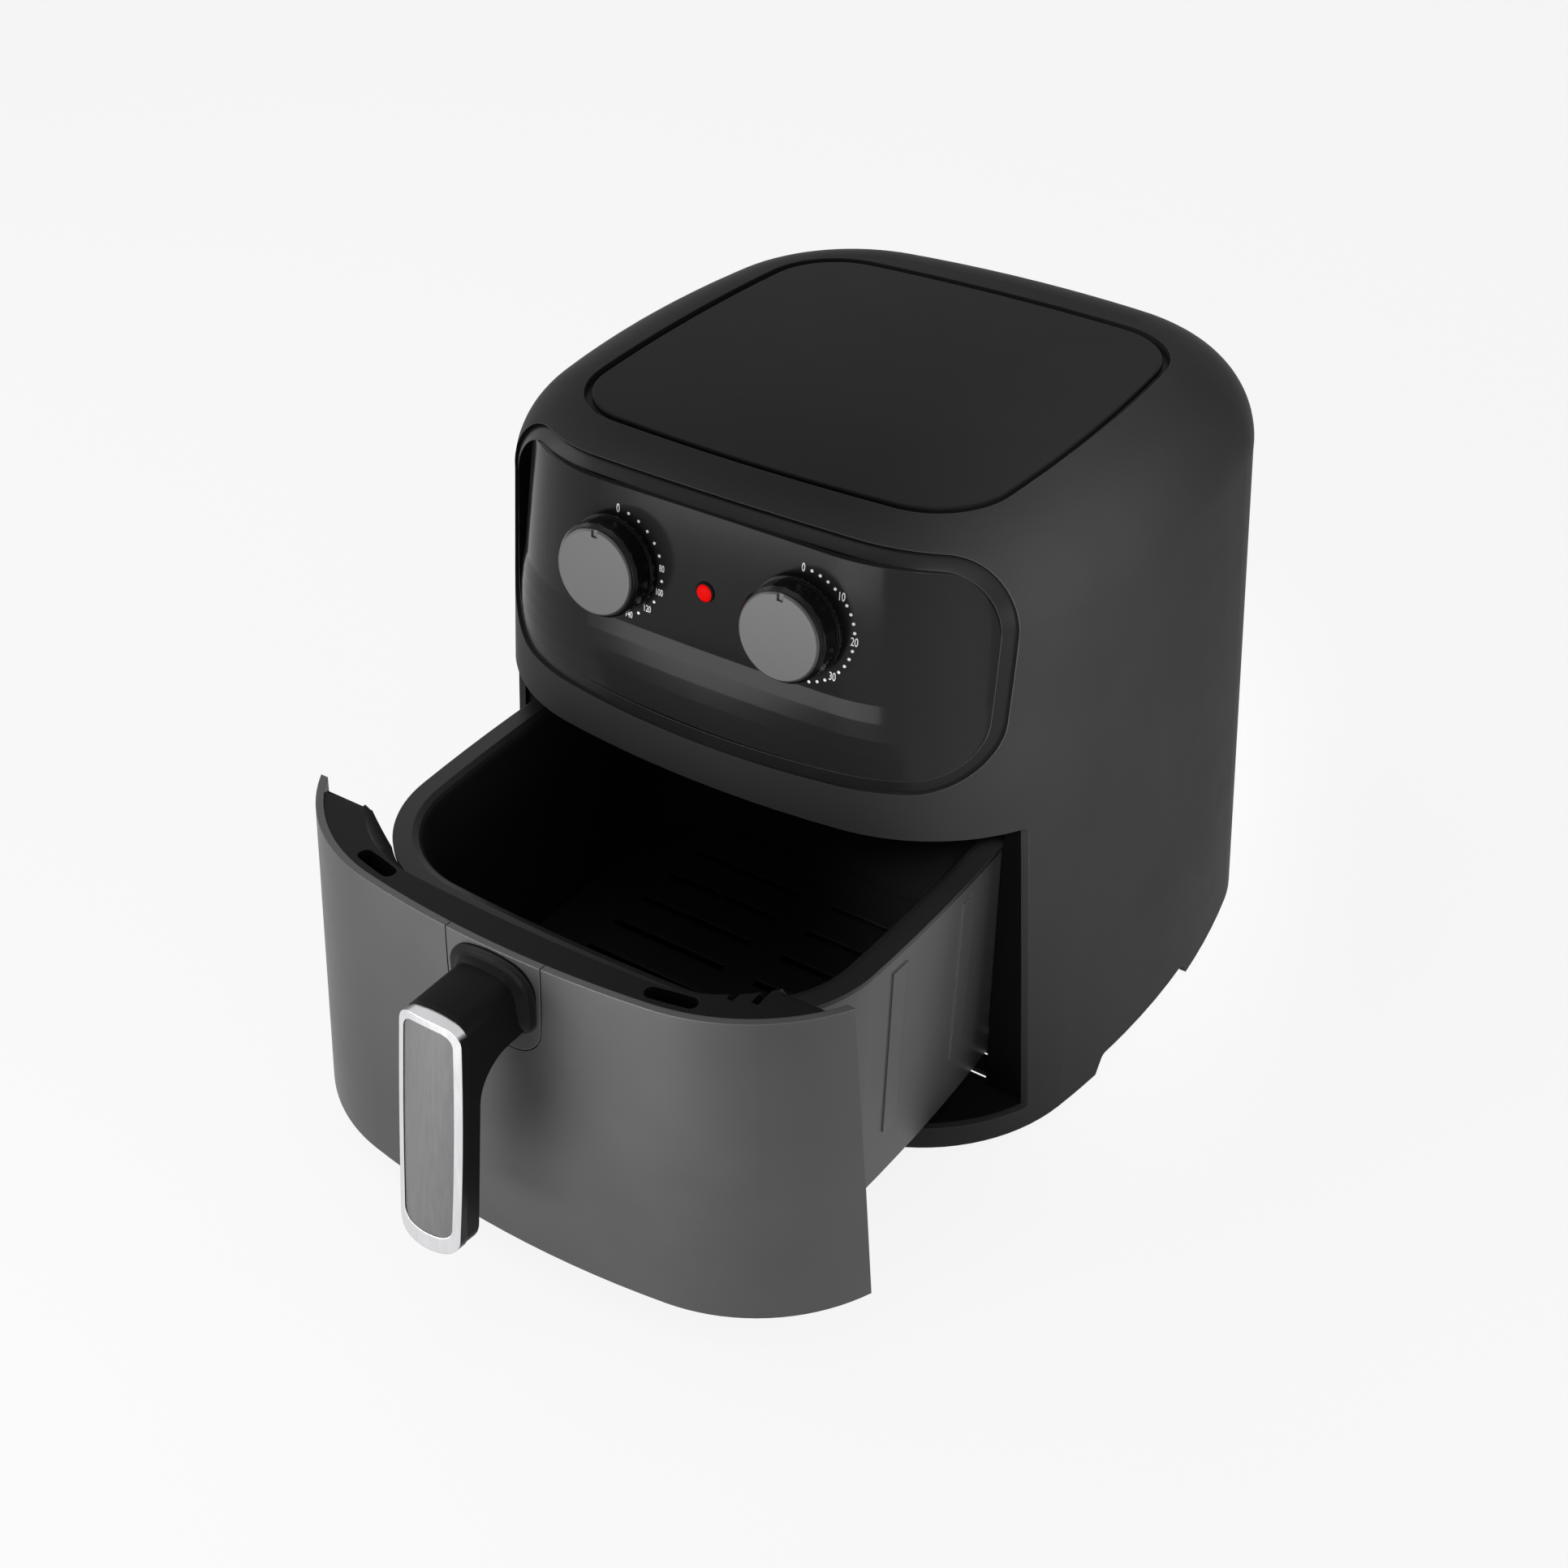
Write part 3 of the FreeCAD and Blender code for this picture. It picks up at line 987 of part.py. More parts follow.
ROOT_RADIUS = 5.0
root = new_body("root")
root_sketches = []
for index, ahead in enumerate((-3.0, 0.0, 0.6, 1.4, 2.5, 4.0, 6.0)):
    away = min(max(ahead, 0.0), ROOT_RADIUS)
    grow = round(ROOT_RADIUS - math.sqrt(ROOT_RADIUS ** 2 - (ROOT_RADIUS - away) ** 2) - 0.16 * away, 3)
    root_depth = f"{skin_front(ARM_MID)} + {ahead}"
    sketch = new_sketch(root, f"root_{index}", "XZ_Plane", root_depth, "0", ARM_MID)
    root_sketches.append(oval(sketch, f"grip_half_width + {grow}", f"arm_tall / 2 + {grow}",
                              "grip_half_width * 30", "grip_half_width * 3",
                              f"grip_half_width * 0.5 + {grow}"))
doc.recompute()
loft(root, root_sketches)


def on_grip(item):
    """Stand a piece made about the origin on the grip's leaning face."""
    return place(item, "0", f"-{grip_depth(GRIP_MIDDLE, '0')}", GRIP_MIDDLE, V(1, 0, 0), -num("grip_lean"))


def grip_face(name, inset, low, high, short="0"):
    """A rounded block on the grip's face; its depth is measured outwards."""
    body = new_body(name)
    sketch = new_sketch(body, name + "_outline", "XZ_Plane", low, "0", short)
    grip_outline(sketch, inset, short)
    doc.recompute()
    pad(body, sketch, f"({high}) - ({low})")
    return on_grip(body)


def grip_curve(name, radius):
    """A round bar along the grip that gives its face a bow."""
    body = new_body(name)
    sketch = new_sketch(body, name + "_outline", "XY_Plane", "-2 * trim_half_length", "0", "face_bow")
    circle(sketch, radius)
    doc.recompute()
    pad(body, sketch, "4 * trim_half_length")
    return on_grip(body)


POCKET = "-trim_depth + 1.2"
trim_block = grip_face("trim_block", "0", "-trim_depth", "0")
trim_pocket = grip_face("trim_pocket", "trim_band", POCKET, "5", "foot_band / 2")
inlay_block = grip_face("inlay_block", "trim_band", POCKET, "5", "foot_band / 2")
grip_limit = grip_face("grip_limit", "-4", "-trim_depth", "40")
grip_column = grip_face("grip_column", "0.4", "-60", "0")
arm_block = box("arm_block", ("-40", "40"), ("-300", "0"), (f"{ARM_LOW} - 30", "lip_height"))
arm_space = common("arm_space", arm_block, arm_arch)
grip_bar = common("grip_bar", handle, fuse("grip_space", grip_column, arm_space))
keep("handle_grip", cut("grip", fuse("grip_solid", grip_bar, root), grip_limit, outer_form), drawer=True)
trim_solid = common("trim_solid", trim_block, grip_curve("face_curve", "face_bow"))
keep("handle_frame", cut("bright_frame", trim_solid, trim_pocket), drawer=True)
inlay_plate = common("inlay_plate", inlay_block, grip_curve("inlay_curve", "face_bow - 0.4"))
keep("handle_inlay", inlay_plate, drawer=True)

# Crisper plate: slotted, on four soft pads that stand on the pan's floor.

CRISP_LOW = "pan_floor + 11"
crisp = new_body("crisp")
crisp_outline = tub_section(crisp, "crisp_outline", CRISP_LOW, "pan_inset + pan_sheet + 1.5")
doc.recompute()
pad(crisp, crisp_outline, "pan_sheet * 1.2")
ROW_HALF = "(tub_half_depth - 39.5)"
SLOT_END = "(tub_half_width - 41)"
ROW_START = f"-tub_forward - {ROW_HALF}"
slot_sketch = new_sketch(crisp, "slot_sketch", "XY_Plane", f"{CRISP_LOW} + 3", "0", ROW_START)
polygon(slot_sketch, [("8", "-2"), (SLOT_END, "-2"), (SLOT_END, "2"), ("8", "2")])
slot_sketch_left = new_sketch(crisp, "slot_sketch_left", "XY_Plane", f"{CRISP_LOW} + 3", "0", ROW_START)
polygon(slot_sketch_left, [(f"-{SLOT_END}", "-2"), ("-8", "-2"), ("-8", "2"), (f"-{SLOT_END}", "2")])
doc.recompute()
slot_cuts = []
for sketch in (slot_sketch, slot_sketch_left):
    feature = crisp.newObject("PartDesign::Pocket", sketch.Name + "_pocket")
    feature.Profile = sketch
    feature.Length = 20
    doc.recompute()
    slot_cuts.append(feature)
row = crisp.newObject("PartDesign::LinearPattern", "slot_row")
row.Originals = slot_cuts
row.Direction = (slot_sketch, ["V_Axis"])
bind(row, "Length", f"2 * {ROW_HALF}")
row.Occurrences = 8
crisp.Tip = row
keep("crisper_plate", crisp, drawer=True)
PAD_X = ("-(tub_half_width - 43)", "(tub_half_width - 43)")
PAD_Y = ("-(tub_half_depth - 43.5)", "(tub_half_depth - 43.5)")
pads = [rod(f"pad{i}", "z", "5", "pan_floor + pan_sheet + 0.4", CRISP_LOW, (x, y))
        for i, (x, y) in enumerate((x, f"{y} - tub_forward") for x in PAD_X for y in PAD_Y)]
keep("crisper_pads", fuse("soft_pads", *pads), drawer=True)

doc.recompute()
wrong = [item.Name for item in doc.Objects if "Invalid" in item.State or "Error" in item.State]
if wrong:
    raise RuntimeError("features that did not build: " + ", ".join(wrong))
os.makedirs("parts", exist_ok=True)
for node, item in PARTS.items():
    shape = item.Shape
    if shape.isNull() or not shape.isValid() or not shape.Solids:
        raise RuntimeError("not a sound solid: " + node)
    shape.exportStep(f"parts/{node}.step")
    print(node, len(shape.Solids), round(shape.Volume), len(shape.Faces))
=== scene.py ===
import math

import bmesh
import bpy
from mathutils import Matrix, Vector
from mathutils.bvhtree import BVHTree


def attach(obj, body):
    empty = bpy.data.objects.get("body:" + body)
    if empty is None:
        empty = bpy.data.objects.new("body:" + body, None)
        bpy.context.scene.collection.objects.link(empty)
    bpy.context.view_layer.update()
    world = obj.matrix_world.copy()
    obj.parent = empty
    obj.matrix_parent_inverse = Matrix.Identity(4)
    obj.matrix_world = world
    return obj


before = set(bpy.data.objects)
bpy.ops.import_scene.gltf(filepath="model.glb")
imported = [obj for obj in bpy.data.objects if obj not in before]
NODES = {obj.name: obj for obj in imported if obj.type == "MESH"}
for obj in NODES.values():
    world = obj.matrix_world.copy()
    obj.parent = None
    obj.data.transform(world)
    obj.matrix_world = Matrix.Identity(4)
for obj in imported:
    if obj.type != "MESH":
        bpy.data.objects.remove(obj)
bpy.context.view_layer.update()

# Materials: every one is a node tree with its own grain and colour drift.

# Blue share of a grey, so that it looks slightly cool.
COOL_TINT = 1.02

# Cosine of the turn from the flat to the rounded normal where the paler edge, partly wear and partly
# painted highlight, starts and where it is full.
WEAR_AND_HIGHLIGHT_START = 0.98
WEAR_AND_HIGHLIGHT_FULL = 0.8
BEVEL_SAMPLES = 6

# Moulded pieces: noise scales per metre, and how much roughness and the edges' worn and
# painted-highlight colour vary.
DRIFT_SCALE = 9.0
PATCH_SCALE = 60.0
ROUGH_DRIFT = 0.1
WORN_AND_HIGHLIGHT_DRIFT = 1.1
GRAIN_STRENGTH = 0.25

# Brushed pieces: noise scale per metre, depth of the lines and how much roughness varies.
LINE_SCALE = 700.0
LINE_DEPTH = 0.00001
LINE_ROUGH = 0.06

# Painted side faces: the sideways share of the normal where paint starts and where it is full.
PAINT_START = 0.75
PAINT_FULL = 0.9
PAINT_DRIFT = 1.2
PAINT_SHINE = 0.1

# Lens: distance from its middle, as a share of its width, where the rim starts and where it is full.
RIM_START = 0.39
RIM_FULL = 0.42
RIM_LOW = 0.006
RIM_HIGH = 0.008
LENS_LOW = 0.3
LENS_HIGH = 0.36
LENS_SMOOTH = 0.35
LENS_ROUGH = 0.5
LENS_SHINE = 0.02
GLOW_SCALE = 400.0


def new_material(name):
    """An empty material with its shader and the object's own coordinates."""
    material = bpy.data.materials.new(name)
    material.use_nodes = True
    tree = material.node_tree
    shader = tree.nodes["Principled BSDF"]
    place = tree.nodes.new("ShaderNodeTexCoord")
    return material, tree, shader, place.outputs["Object"]


def noise(tree, place, scale, detail, stretch=None):
    """Noise at a scale per metre; stretch draws it out along the axes."""
    node = tree.nodes.new("ShaderNodeTexNoise")
    node.inputs["Scale"].default_value = scale
    node.inputs["Detail"].default_value = detail
    source = place
    if stretch:
        mapping = tree.nodes.new("ShaderNodeMapping")
        mapping.inputs["Scale"].default_value = stretch
        tree.links.new(place, mapping.inputs["Vector"])
        source = mapping.outputs["Vector"]
    tree.links.new(source, node.inputs["Vector"])
    return node.outputs["Fac"]


def ramp(tree, value, low, high, start=0.3, end=0.7):
    """Two grey or coloured stops over part of a value's range."""
    node = tree.nodes.new("ShaderNodeValToRGB")
    first, last = node.color_ramp.elements
    first.position = start
    last.position = end
    first.color = (*low, 1.0)
    last.color = (*high, 1.0)
    tree.links.new(value, node.inputs["Fac"])
    return node.outputs["Color"]


def mix(tree, share, low, high):
    """Blend two colours by a value."""
    node = tree.nodes.new("ShaderNodeMix")
    node.data_type = "RGBA"
    tree.links.new(share, node.inputs["Factor"])
    tree.links.new(low, node.inputs[6])
    tree.links.new(high, node.inputs[7])
    return node.outputs[2]


def span(tree, value, low, high):
    """Map a value from 0..1 on to a range."""
    node = tree.nodes.new("ShaderNodeMapRange")
    node.inputs["To Min"].default_value = low
    node.inputs["To Max"].default_value = high
    tree.links.new(value, node.inputs["Value"])
    return node.outputs["Result"]


def rise(tree, value, start, full):
    """A value that is nought at the start of a range and one at its end."""
    node = tree.nodes.new("ShaderNodeMapRange")
    node.inputs["From Min"].default_value = start
    node.inputs["From Max"].default_value = full
    tree.links.new(value, node.inputs["Value"])
    return node.outputs["Result"]


def rounded_edges(tree, radius):
    """The normal that a surface would have if its sharp edges were slightly rounded."""
    node = tree.nodes.new("ShaderNodeBevel")
    node.samples = BEVEL_SAMPLES
    node.inputs["Radius"].default_value = radius
    return node.outputs["Normal"]


def surface(tree, shader, height, strength, distance, rounded):
    """Fine relief on a surface whose sharp edges catch the light."""
    node = tree.nodes.new("ShaderNodeBump")
    node.inputs["Strength"].default_value = strength
    node.inputs["Distance"].default_value = distance
    tree.links.new(height, node.inputs["Height"])
    tree.links.new(rounded, node.inputs["Normal"])
    tree.links.new(node.outputs["Normal"], shader.inputs["Normal"])


def edge_wear(tree, rounded):
    """A value that rises along sharp edges, where handling rubs the coat and where a painted highlight
    stands for the light a rounded edge catches.
    """
    geometry = tree.nodes.new("ShaderNodeNewGeometry")
    turn = tree.nodes.new("ShaderNodeVectorMath")
    turn.operation = "DOT_PRODUCT"
    tree.links.new(rounded, turn.inputs[0])
    tree.links.new(geometry.outputs["Normal"], turn.inputs[1])
    return rise(tree, turn.outputs["Value"], WEAR_AND_HIGHLIGHT_START, WEAR_AND_HIGHLIGHT_FULL)


def grey(level):
    """A slightly cool grey."""
    return (level, level, level * COOL_TINT)


def moulded(name, level, rough, shine=0.2, metallic=0.0, grain=1800.0, depth=0.00002, drift=0.12,
            worn_and_highlight=2.4, edge=0.0005):
    """Moulded, coated or lacquered pieces: fine grain, slow colour drift and paler edges, partly wear
    and partly painted highlight.
    """
    material, tree, shader, place = new_material(name)
    slow = noise(tree, place, DRIFT_SCALE, 3.0)
    base = ramp(tree, slow, grey(level * (1 - drift)), grey(level * (1 + drift)))
    # Paler edge colour: partly wear, partly a painted highlight for light caught on rounded edges.
    pale = ramp(tree, slow, grey(level * worn_and_highlight), grey(level * worn_and_highlight * WORN_AND_HIGHLIGHT_DRIFT))
    rounded = rounded_edges(tree, edge)
    tree.links.new(mix(tree, edge_wear(tree, rounded), base, pale), shader.inputs["Base Color"])
    patches = noise(tree, place, PATCH_SCALE, 5.0)
    roughness = span(tree, patches, rough * (1 - ROUGH_DRIFT), rough * (1 + ROUGH_DRIFT))
    tree.links.new(roughness, shader.inputs["Roughness"])
    surface(tree, shader, noise(tree, place, grain, 2.0), GRAIN_STRENGTH, depth, rounded)
    shader.inputs["Metallic"].default_value = metallic
    shader.inputs["Specular IOR Level"].default_value = shine
    return material


def brushed(name, level, rough, stretch, metallic=1.0, contrast=0.12, relief=0.1, edge=0.0005):
    """Metal, or plastic made to look like it, with fine drawn lines along one way."""
    material, tree, shader, place = new_material(name)
    lines = noise(tree, place, LINE_SCALE, 3.0, stretch)
    tone = ramp(tree, lines, grey(level * (1 - contrast)), grey(level * (1 + contrast)))
    tree.links.new(tone, shader.inputs["Base Color"])
    roughness = span(tree, lines, rough - LINE_ROUGH, rough + LINE_ROUGH)
    tree.links.new(roughness, shader.inputs["Roughness"])
    surface(tree, shader, lines, relief, LINE_DEPTH, rounded_edges(tree, edge))
    shader.inputs["Metallic"].default_value = metallic
    return material


def black_sides(material, level):
    """Black paint on the faces of a bright piece that look to either side."""
    tree = material.node_tree
    shader = tree.nodes["Principled BSDF"]
    geometry = tree.nodes.new("ShaderNodeNewGeometry")
    parts = tree.nodes.new("ShaderNodeSeparateXYZ")
    tree.links.new(geometry.outputs["True Normal"], parts.inputs["Vector"])
    sideways = tree.nodes.new("ShaderNodeMath")
    sideways.operation = "ABSOLUTE"
    tree.links.new(parts.outputs["X"], sideways.inputs[0])
    painted = rise(tree, sideways.outputs[0], PAINT_START, PAINT_FULL)
    bright = shader.inputs["Base Color"].links[0].from_socket
    black = ramp(tree, painted, grey(level), grey(level * PAINT_DRIFT))
    tree.links.new(mix(tree, painted, bright, black), shader.inputs["Base Color"])
    tree.links.new(span(tree, painted, 1.0, 0.0), shader.inputs["Metallic"])
    shader.inputs["Specular IOR Level"].default_value = PAINT_SHINE


def glowing(name, colour, strength):
    """A coloured lens lit from behind, with a dark rim."""
    material, tree, shader, place = new_material(name)
    flat = tree.nodes.new("ShaderNodeVectorMath")
    flat.operation = "MULTIPLY"
    flat.inputs[1].default_value = (1.0, 0.0, 1.0)
    tree.links.new(tree.nodes["Texture Coordinate"].outputs["Generated"], flat.inputs[0])
    away = tree.nodes.new("ShaderNodeVectorMath")
    away.operation = "DISTANCE"
    away.inputs[1].default_value = (0.5, 0.0, 0.5)
    tree.links.new(flat.outputs["Vector"], away.inputs[0])
    rim = rise(tree, away.outputs["Value"], RIM_START, RIM_FULL)
    glow = noise(tree, place, GLOW_SCALE, 2.0)
    lens_low = tuple(part * LENS_LOW for part in colour)
    lens_high = tuple(part * LENS_HIGH for part in colour)
    lens = ramp(tree, glow, lens_low, lens_high)
    dark = ramp(tree, glow, grey(RIM_LOW), grey(RIM_HIGH))
    tree.links.new(mix(tree, rim, lens, dark), shader.inputs["Base Color"])
    tree.links.new(span(tree, glow, LENS_SMOOTH, LENS_ROUGH), shader.inputs["Roughness"])
    shader.inputs["Specular IOR Level"].default_value = LENS_SHINE
    shader.inputs["Emission Color"].default_value = (*colour, 1.0)
    tree.links.new(span(tree, rim, strength, 0.0), shader.inputs["Emission Strength"])
    return material


shell_coat = moulded("shell_coat", level=0.026, rough=0.46, shine=0.015)
fascia_coat = moulded("fascia_coat", level=0.088, rough=0.46, shine=0.1, metallic=1.0, grain=2600.0,
                      depth=0.00001, worn_and_highlight=1.5)
# Its edges are painted much paler: a painted highlight along the lip of the groove round the inset.
top_coat = moulded("top_coat", level=0.009, rough=0.36, shine=0.024, worn_and_highlight=7.0, edge=0.0007)
panel_gloss = moulded("panel_gloss", level=0.014, rough=0.14, shine=0.06, depth=0.000003, drift=0.05)
# Its edges are painted paler: a painted highlight along the frame's lower edge.
surround_gloss = moulded("surround_gloss", level=0.008, rough=0.3, shine=0.12, worn_and_highlight=5.0)
knob_gloss = moulded("knob_gloss", level=0.004, rough=0.24, shine=0.12, depth=0.000006)
cap_satin = brushed("cap_satin", level=0.055, rough=0.42, stretch=(1.0, 1.0, 8.0), metallic=0.3,
                    contrast=0.06)
black_satin = moulded("black_satin", level=0.006, rough=0.4, shine=0.06)
collar_satin = moulded("collar_satin", level=0.006, rough=0.42, shine=0.08, worn_and_highlight=4.0)
# The base's dark plastic, darkened further as painted shade under the body.
base_black_and_shade = moulded("base_black_and_shade", level=0.004, rough=0.5, shine=0.03)
tub_grey = moulded("tub_grey", level=0.068, rough=0.42, shine=0.3, metallic=0.5, worn_and_highlight=1.5)
non_stick = moulded("non_stick", level=0.014, rough=0.34, shine=0.2, grain=900.0, depth=0.00004)
# Near black, darker than the liner's metal: painted shade for the deep cavity behind the drawer.
cavity_painted_shade = moulded("cavity_painted_shade", level=0.0014, rough=0.5, shine=0.04)
rubber = moulded("rubber", level=0.008, rough=0.75, shine=0.1, grain=1200.0, depth=0.00004)
silver = brushed("silver", level=0.68, rough=0.26, stretch=(1.0, 1.0, 0.05), contrast=0.02, relief=0.01)
black_sides(silver, level=0.006)
inlay_grey = brushed("inlay_grey", level=0.115, rough=0.44, stretch=(1.0, 1.0, 0.04), metallic=0.5,
                     contrast=0.05)
steel = brushed("steel", level=0.5, rough=0.35, stretch=(0.1, 1.0, 1.0))
fan_metal = brushed("fan_metal", level=0.6, rough=0.35, stretch=(1.0, 0.2, 1.0))
motor_paint = moulded("motor_paint", level=0.12, rough=0.5)
control_case = moulded("control_case", level=0.32, rough=0.5)
terminal_white = moulded("terminal_white", level=0.6, rough=0.5, worn_and_highlight=1.1)
mark_ink = moulded("mark_ink", level=0.78, rough=0.5, worn_and_highlight=1.05, edge=0.0001)
lens_red = glowing("lens_red", colour=(0.75, 0.0025, 0.0018), strength=0.7)

LOOKS = {
    shell_coat: ["outer_shell", "rear_grille"],
    fascia_coat: ["drawer_front", "handle_plate"],
    top_coat: ["top_panel"],
    panel_gloss: ["control_panel"],
    surround_gloss: ["panel_frame"],
    lens_red: ["indicator_lens"],
    knob_gloss: ["temperature_knob", "timer_knob"],
    cap_satin: ["temperature_cap", "timer_cap"],
    black_satin: ["handle_grip", "air_duct"],
    base_black_and_shade: ["base_plate"],
    collar_satin: ["drawer_collar"],
    tub_grey: ["drawer_tub"],
    non_stick: ["cooking_pan", "crisper_plate"],
    cavity_painted_shade: ["cavity_liner", "mid_plate"],
    rubber: ["rubber_feet", "crisper_pads", "cord_bush"],
    silver: ["handle_frame"],
    inlay_grey: ["handle_inlay"],
    steel: ["temperature_shaft", "timer_shaft", "control_bracket", "timer_bell", "heat_shroud",
            "heater_guard", "heating_element", "element_clips", "fan_shaft", "fan_nut", "motor_bracket"],
    fan_metal: ["hot_fan", "cooling_fan", "thermal_fuse"],
    motor_paint: ["fan_motor"],
    control_case: ["thermostat_unit", "timer_unit", "drawer_switch"],
    terminal_white: ["terminal_block", "switch_pin", "indicator_lamp"],
}
for material, names in LOOKS.items():
    for name in names:
        slots = NODES[name].data.materials
        slots.clear()
        slots.append(material)

# Dial scales: figures and dots printed on the control panel.

LEAN = math.radians(6.0)
OUT = Vector((0.0, -math.cos(LEAN), math.sin(LEAN)))
RISE = Vector((0.0, math.sin(LEAN), math.cos(LEAN)))
DIAL_SPOT = {
    "temperature": Vector((-0.041, -0.1315, 0.2285)),
    "timer": Vector((0.041, -0.1315, 0.2285)),
}

# How far the ink stands out of the panel, and how far in front of it the search for its face starts.
INK = 0.00012
SEARCH_START = 0.03

# Font size for a figure of height one, and how far a figure is narrowed.
FONT_SIZE = 1.4
FIGURE_NARROWING = 0.62
DOT_RADIUS = 0.0006
DOT_CORNERS = 16

panel = NODES["control_panel"]
panel_tree = BVHTree.FromPolygons([panel.matrix_world @ vertex.co for vertex in panel.data.vertices],
                                  [tuple(face.vertices) for face in panel.data.polygons])


def on_panel(dial, across, up):
    """The spot on the panel's face at a distance from a dial's axis."""
    start = DIAL_SPOT[dial] + Vector((across, 0.0, 0.0)) + RISE * up + OUT * SEARCH_START
    spot = panel_tree.ray_cast(start, -OUT)[0]
    return spot + OUT * INK


def figure_shape(text, tall):
    """Flat outlines of a figure about its own middle, narrow and a given height tall."""
    curve = bpy.data.curves.new("figure", "FONT")
    curve.body = text
    curve.align_x = "CENTER"
    curve.align_y = "CENTER"
    curve.size = tall * FONT_SIZE
    holder = bpy.data.objects.new("figure", curve)
    mesh = bpy.data.meshes.new_from_object(holder)
    points = [(vertex.co.x * FIGURE_NARROWING, vertex.co.y) for vertex in mesh.vertices]
    faces = [tuple(face.vertices) for face in mesh.polygons]
    bpy.data.objects.remove(holder)
    bpy.data.curves.remove(curve)
    bpy.data.meshes.remove(mesh)
    return points, faces


def dot_shape():
    """A flat round dot about its own middle."""
    turns = [math.tau * i / DOT_CORNERS for i in range(DOT_CORNERS)]
    points = [(DOT_RADIUS * math.cos(turn), DOT_RADIUS * math.sin(turn)) for turn in turns]
    return points, [tuple(range(DOT_CORNERS))]


def scale_marks(dial, ring, figures, dots):
    """One printed scale: figures and dots at angles clockwise from the top of a dial."""
    form = bmesh.new()
    marks = [(angle, figure_shape(text, tall)) for angle, text, tall in figures]
    marks += [(angle, dot_shape()) for angle in dots]
    for angle, (points, faces) in marks:
        turn = math.radians(angle)
        middle = (ring * math.sin(turn), ring * math.cos(turn))
        corners = [form.verts.new(on_panel(dial, middle[0] + x, middle[1] + y)) for x, y in points]
        for face in faces:
            form.faces.new([corners[i] for i in face])
    sides = bmesh.ops.extrude_face_region(form, geom=list(form.faces))["geom"]
    lowered = [item for item in sides if isinstance(item, bmesh.types.BMVert)]
    bmesh.ops.translate(form, verts=lowered, vec=OUT * (-2 * INK))
    bmesh.ops.recalc_face_normals(form, faces=list(form.faces))
    mesh = bpy.data.meshes.new(dial + "_marks")
    form.to_mesh(mesh)
    form.free()
    mesh.materials.append(mark_ink)
    item = bpy.data.objects.new(dial + "_marks", mesh)
    bpy.context.scene.collection.objects.link(item)
    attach(item, "housing")


# The timer turns through an hour; a figure every ten minutes and a dot every two.
TIMER_RING = 0.0222
MINUTE_STEP = 276.0 / 60
LAST_MINUTE = 50
FIGURE_MINUTES = 10
DOT_MINUTES = 2
MINUTE_TALL = 0.0034
minute_figures = range(0, LAST_MINUTE + 1, FIGURE_MINUTES)
minutes = [(MINUTE_STEP * value, str(value), MINUTE_TALL) for value in minute_figures]
minute_marks = range(0, LAST_MINUTE + 1, DOT_MINUTES)
minute_dots = [MINUTE_STEP * value for value in minute_marks if value % FIGURE_MINUTES]
scale_marks("timer", TIMER_RING, minutes, minute_dots)

# The temperature scale: a figure at each step named here and a dot at every other step.
HEAT_RING = 0.0212
HEAT_STEP = 13.6
ZERO_TALL = 0.0036
HEAT_TALL = 0.0028
heat_steps = {0: "0", 6: "80", 8: "100", 10: "120", 12: "140", 14: "160", 16: "180", 18: "200"}
LAST_HEAT_STEP = max(heat_steps)
heats = [(HEAT_STEP * step, text, HEAT_TALL if step else ZERO_TALL) for step, text in heat_steps.items()]
heat_dots = [HEAT_STEP * step for step in range(LAST_HEAT_STEP + 1) if step not in heat_steps]
scale_marks("temperature", HEAT_RING, heats, heat_dots)

# Stage: a pale floor that runs out to the backdrop, and soft lights.

BACKGROUND = 0.93
PAPER_DRIFT = 0.004
PAPER_SCALE = 0.4
PAPER_ROUGH = 0.9
FLOOR_HALF = 20.0
FLOOR_SHOWN = 0.97
FLOOR_SHARE = 0.9
SKY_LIGHT = 0.35
SKY_SHOWN = 1.0


def background_share(tree):
    """A value that is one for the camera, mirrors and glass and nought for the light itself."""
    path = tree.nodes.new("ShaderNodeLightPath")
    total = path.outputs["Is Camera Ray"]
    for other in ("Is Glossy Ray", "Is Transmission Ray"):
        node = tree.nodes.new("ShaderNodeMath")
        node.operation = "MAXIMUM"
        tree.links.new(total, node.inputs[0])
        tree.links.new(path.outputs[other], node.inputs[1])
        total = node.outputs[0]
    return total


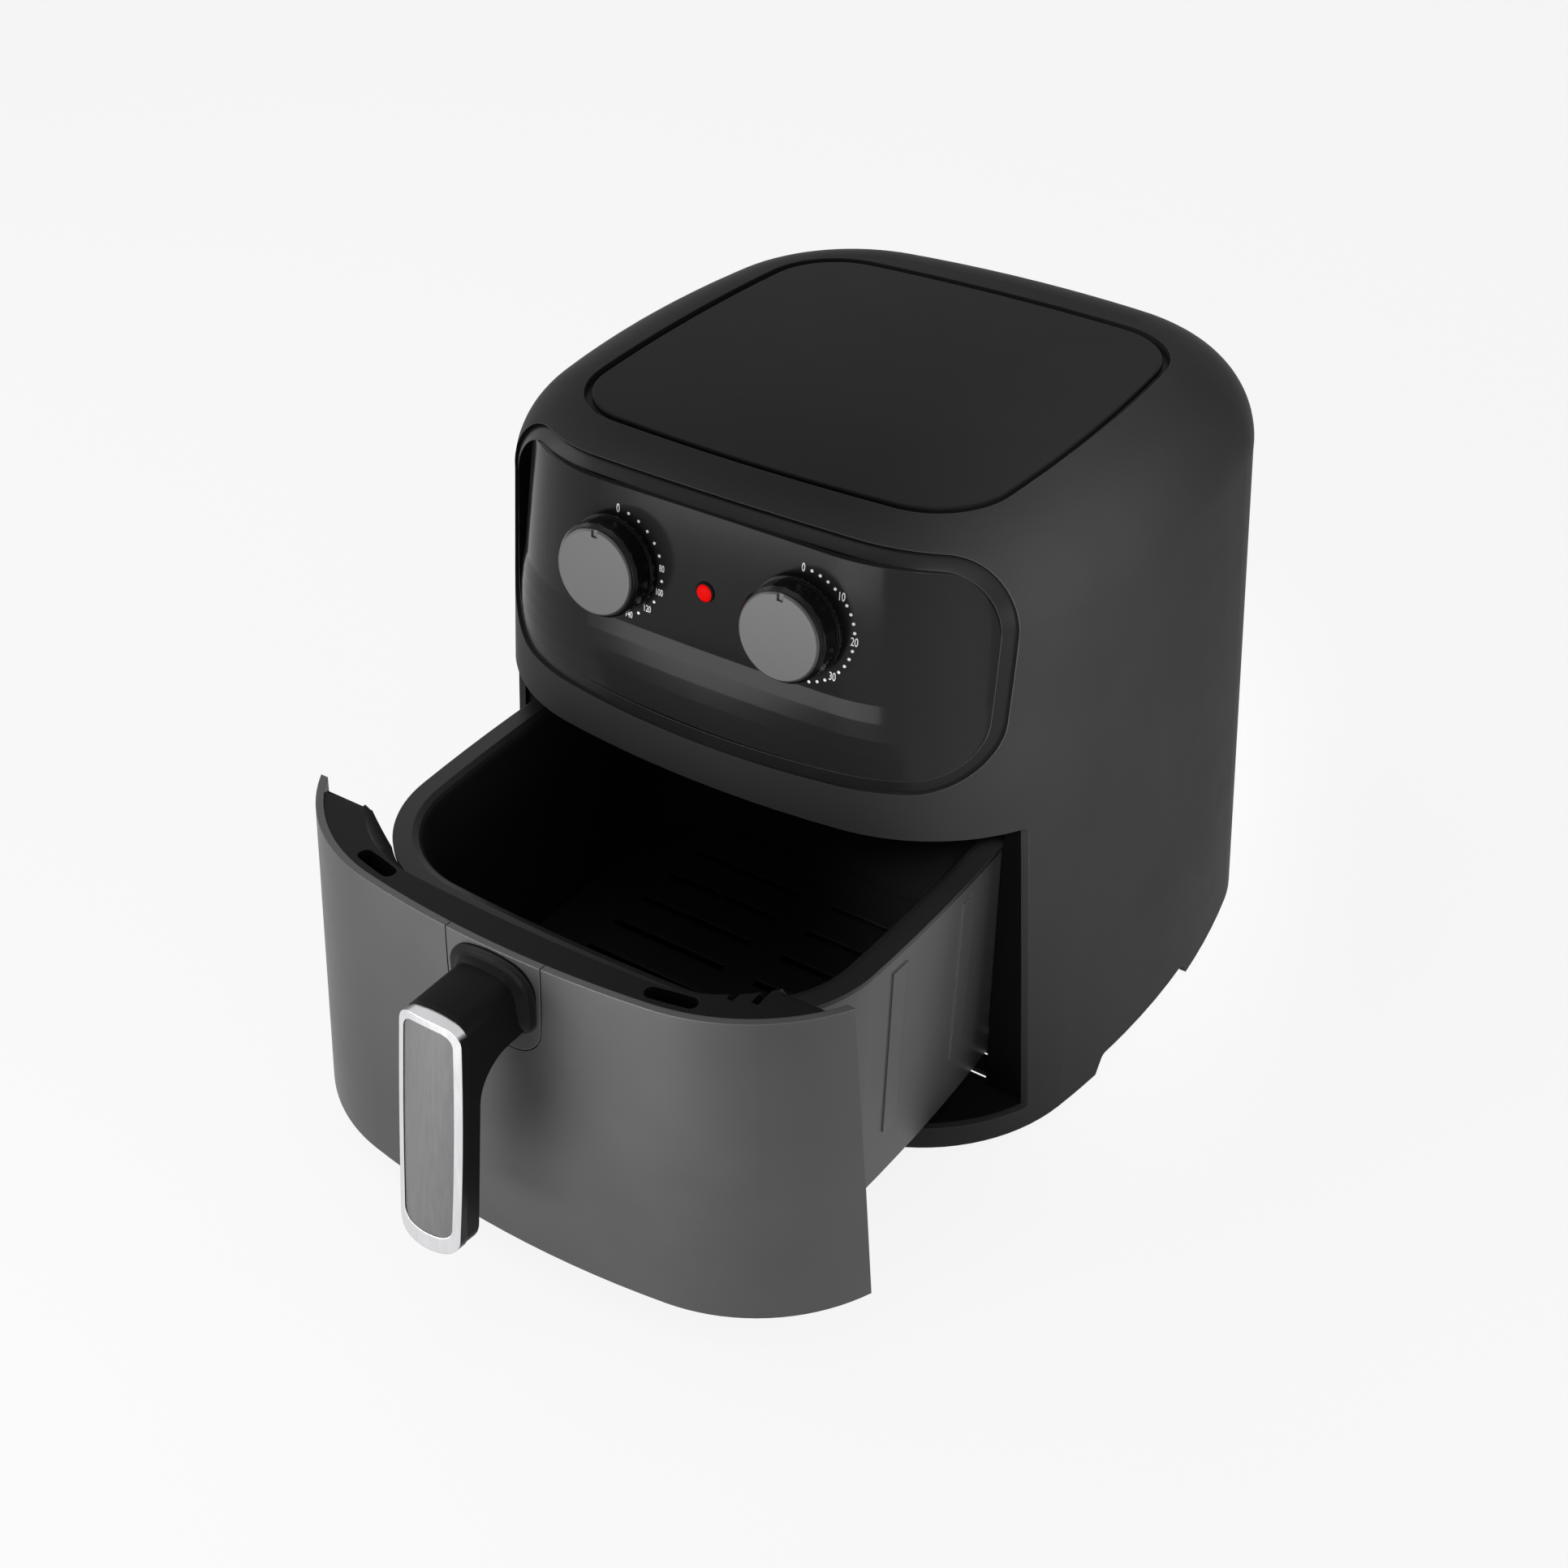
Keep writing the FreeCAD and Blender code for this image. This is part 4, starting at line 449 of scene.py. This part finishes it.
def stage_floor():
    """A large pale floor that shows as plain background and keeps a light shadow."""
    mesh = bpy.data.meshes.new("floor")
    form = bmesh.new()
    bmesh.ops.create_grid(form, x_segments=1, y_segments=1, size=FLOOR_HALF)
    form.to_mesh(mesh)
    form.free()
    floor = bpy.data.objects.new("floor", mesh)
    bpy.context.scene.collection.objects.link(floor)
    material, tree, shader, place = new_material("floor_paper")
    patches = noise(tree, place, PAPER_SCALE, 2.0)
    tone = ramp(tree, patches, (BACKGROUND,) * 3, (BACKGROUND + PAPER_DRIFT,) * 3)
    tree.links.new(tone, shader.inputs["Base Color"])
    shader.inputs["Roughness"].default_value = PAPER_ROUGH
    shader.inputs["Specular IOR Level"].default_value = 0.0
    plain = tree.nodes.new("ShaderNodeEmission")
    plain.inputs["Color"].default_value = (FLOOR_SHOWN, FLOOR_SHOWN, FLOOR_SHOWN, 1.0)
    share = tree.nodes.new("ShaderNodeMath")
    share.operation = "MULTIPLY"
    share.inputs[1].default_value = FLOOR_SHARE
    tree.links.new(background_share(tree), share.inputs[0])
    blend = tree.nodes.new("ShaderNodeMixShader")
    tree.links.new(share.outputs[0], blend.inputs["Fac"])
    tree.links.new(shader.outputs["BSDF"], blend.inputs[1])
    tree.links.new(plain.outputs["Emission"], blend.inputs[2])
    tree.links.new(blend.outputs["Shader"], tree.nodes["Material Output"].inputs["Surface"])
    mesh.materials.append(material)


stage_floor()

world = bpy.data.worlds.new("studio")
bpy.context.scene.world = world
world.use_nodes = True
sky_tree = world.node_tree
sky = sky_tree.nodes["Background"]
sky.inputs["Color"].default_value = (BACKGROUND, BACKGROUND, BACKGROUND, 1.0)
sky_strength = span(sky_tree, background_share(sky_tree), SKY_LIGHT, SKY_SHOWN)
sky_tree.links.new(sky_strength, sky.inputs["Strength"])


def area_light(name, spot, aim, size, power, spread=180.0):
    """A soft box at a spot, turned towards a point and out of the camera's sight."""
    data = bpy.data.lights.new(name, "AREA")
    data.shape = "RECTANGLE"
    data.size, data.size_y = size
    data.energy = power
    data.spread = math.radians(spread)
    light = bpy.data.objects.new(name, data)
    light.location = spot
    light.rotation_mode = "QUATERNION"
    light.rotation_quaternion = (Vector(aim) - Vector(spot)).to_track_quat("-Z", "Y")
    light.visible_camera = False
    bpy.context.scene.collection.objects.link(light)


area_light("key", spot=(-0.14, -0.81, 0.12), aim=(0.03, -0.27, 0.12), size=(0.70, 0.22), power=1.8,
           spread=100.0)
area_light("side", spot=(0.72, -0.08, 0.13), aim=(0.12, -0.16, 0.13), size=(0.45, 0.24), power=0.45,
           spread=100.0)
area_light("corner", spot=(0.42, -0.66, 0.75), aim=(0.15, -0.09, 0.21), size=(0.04, 0.2), power=0.17,
           spread=13.0)
area_light("top", spot=(-0.3, -0.2, 1.8), aim=(0.0, -0.08, 0.13), size=(1.2, 1.2), power=6.0)
area_light("left", spot=(-1.1, -0.35, 0.75), aim=(0.0, -0.08, 0.20), size=(0.6, 0.6), power=3.0)

# Camera: the photograph's own angle.

AZIMUTH = math.radians(33.789)
ELEVATION = math.radians(35.593)
CAMERA_SPOT = (0.40097, -0.67902, 0.62743)
LENS_MM = 49.1614
SENSOR_MM = 36.0
CLIP_START = 0.05
CLIP_END = 50.0

camera_data = bpy.data.cameras.new("camera")
camera_data.lens = LENS_MM
camera_data.sensor_width = SENSOR_MM
camera_data.clip_start = CLIP_START
camera_data.clip_end = CLIP_END
camera = bpy.data.objects.new("camera", camera_data)
camera.location = CAMERA_SPOT
level = math.cos(ELEVATION)
back = Vector((math.sin(AZIMUTH) * level, -math.cos(AZIMUTH) * level, math.sin(ELEVATION)))
camera.rotation_mode = "QUATERNION"
camera.rotation_quaternion = (-back).to_track_quat("-Z", "Y")
bpy.context.scene.collection.objects.link(camera)
bpy.context.scene.camera = camera
bpy.context.scene.view_settings.view_transform = "Standard"
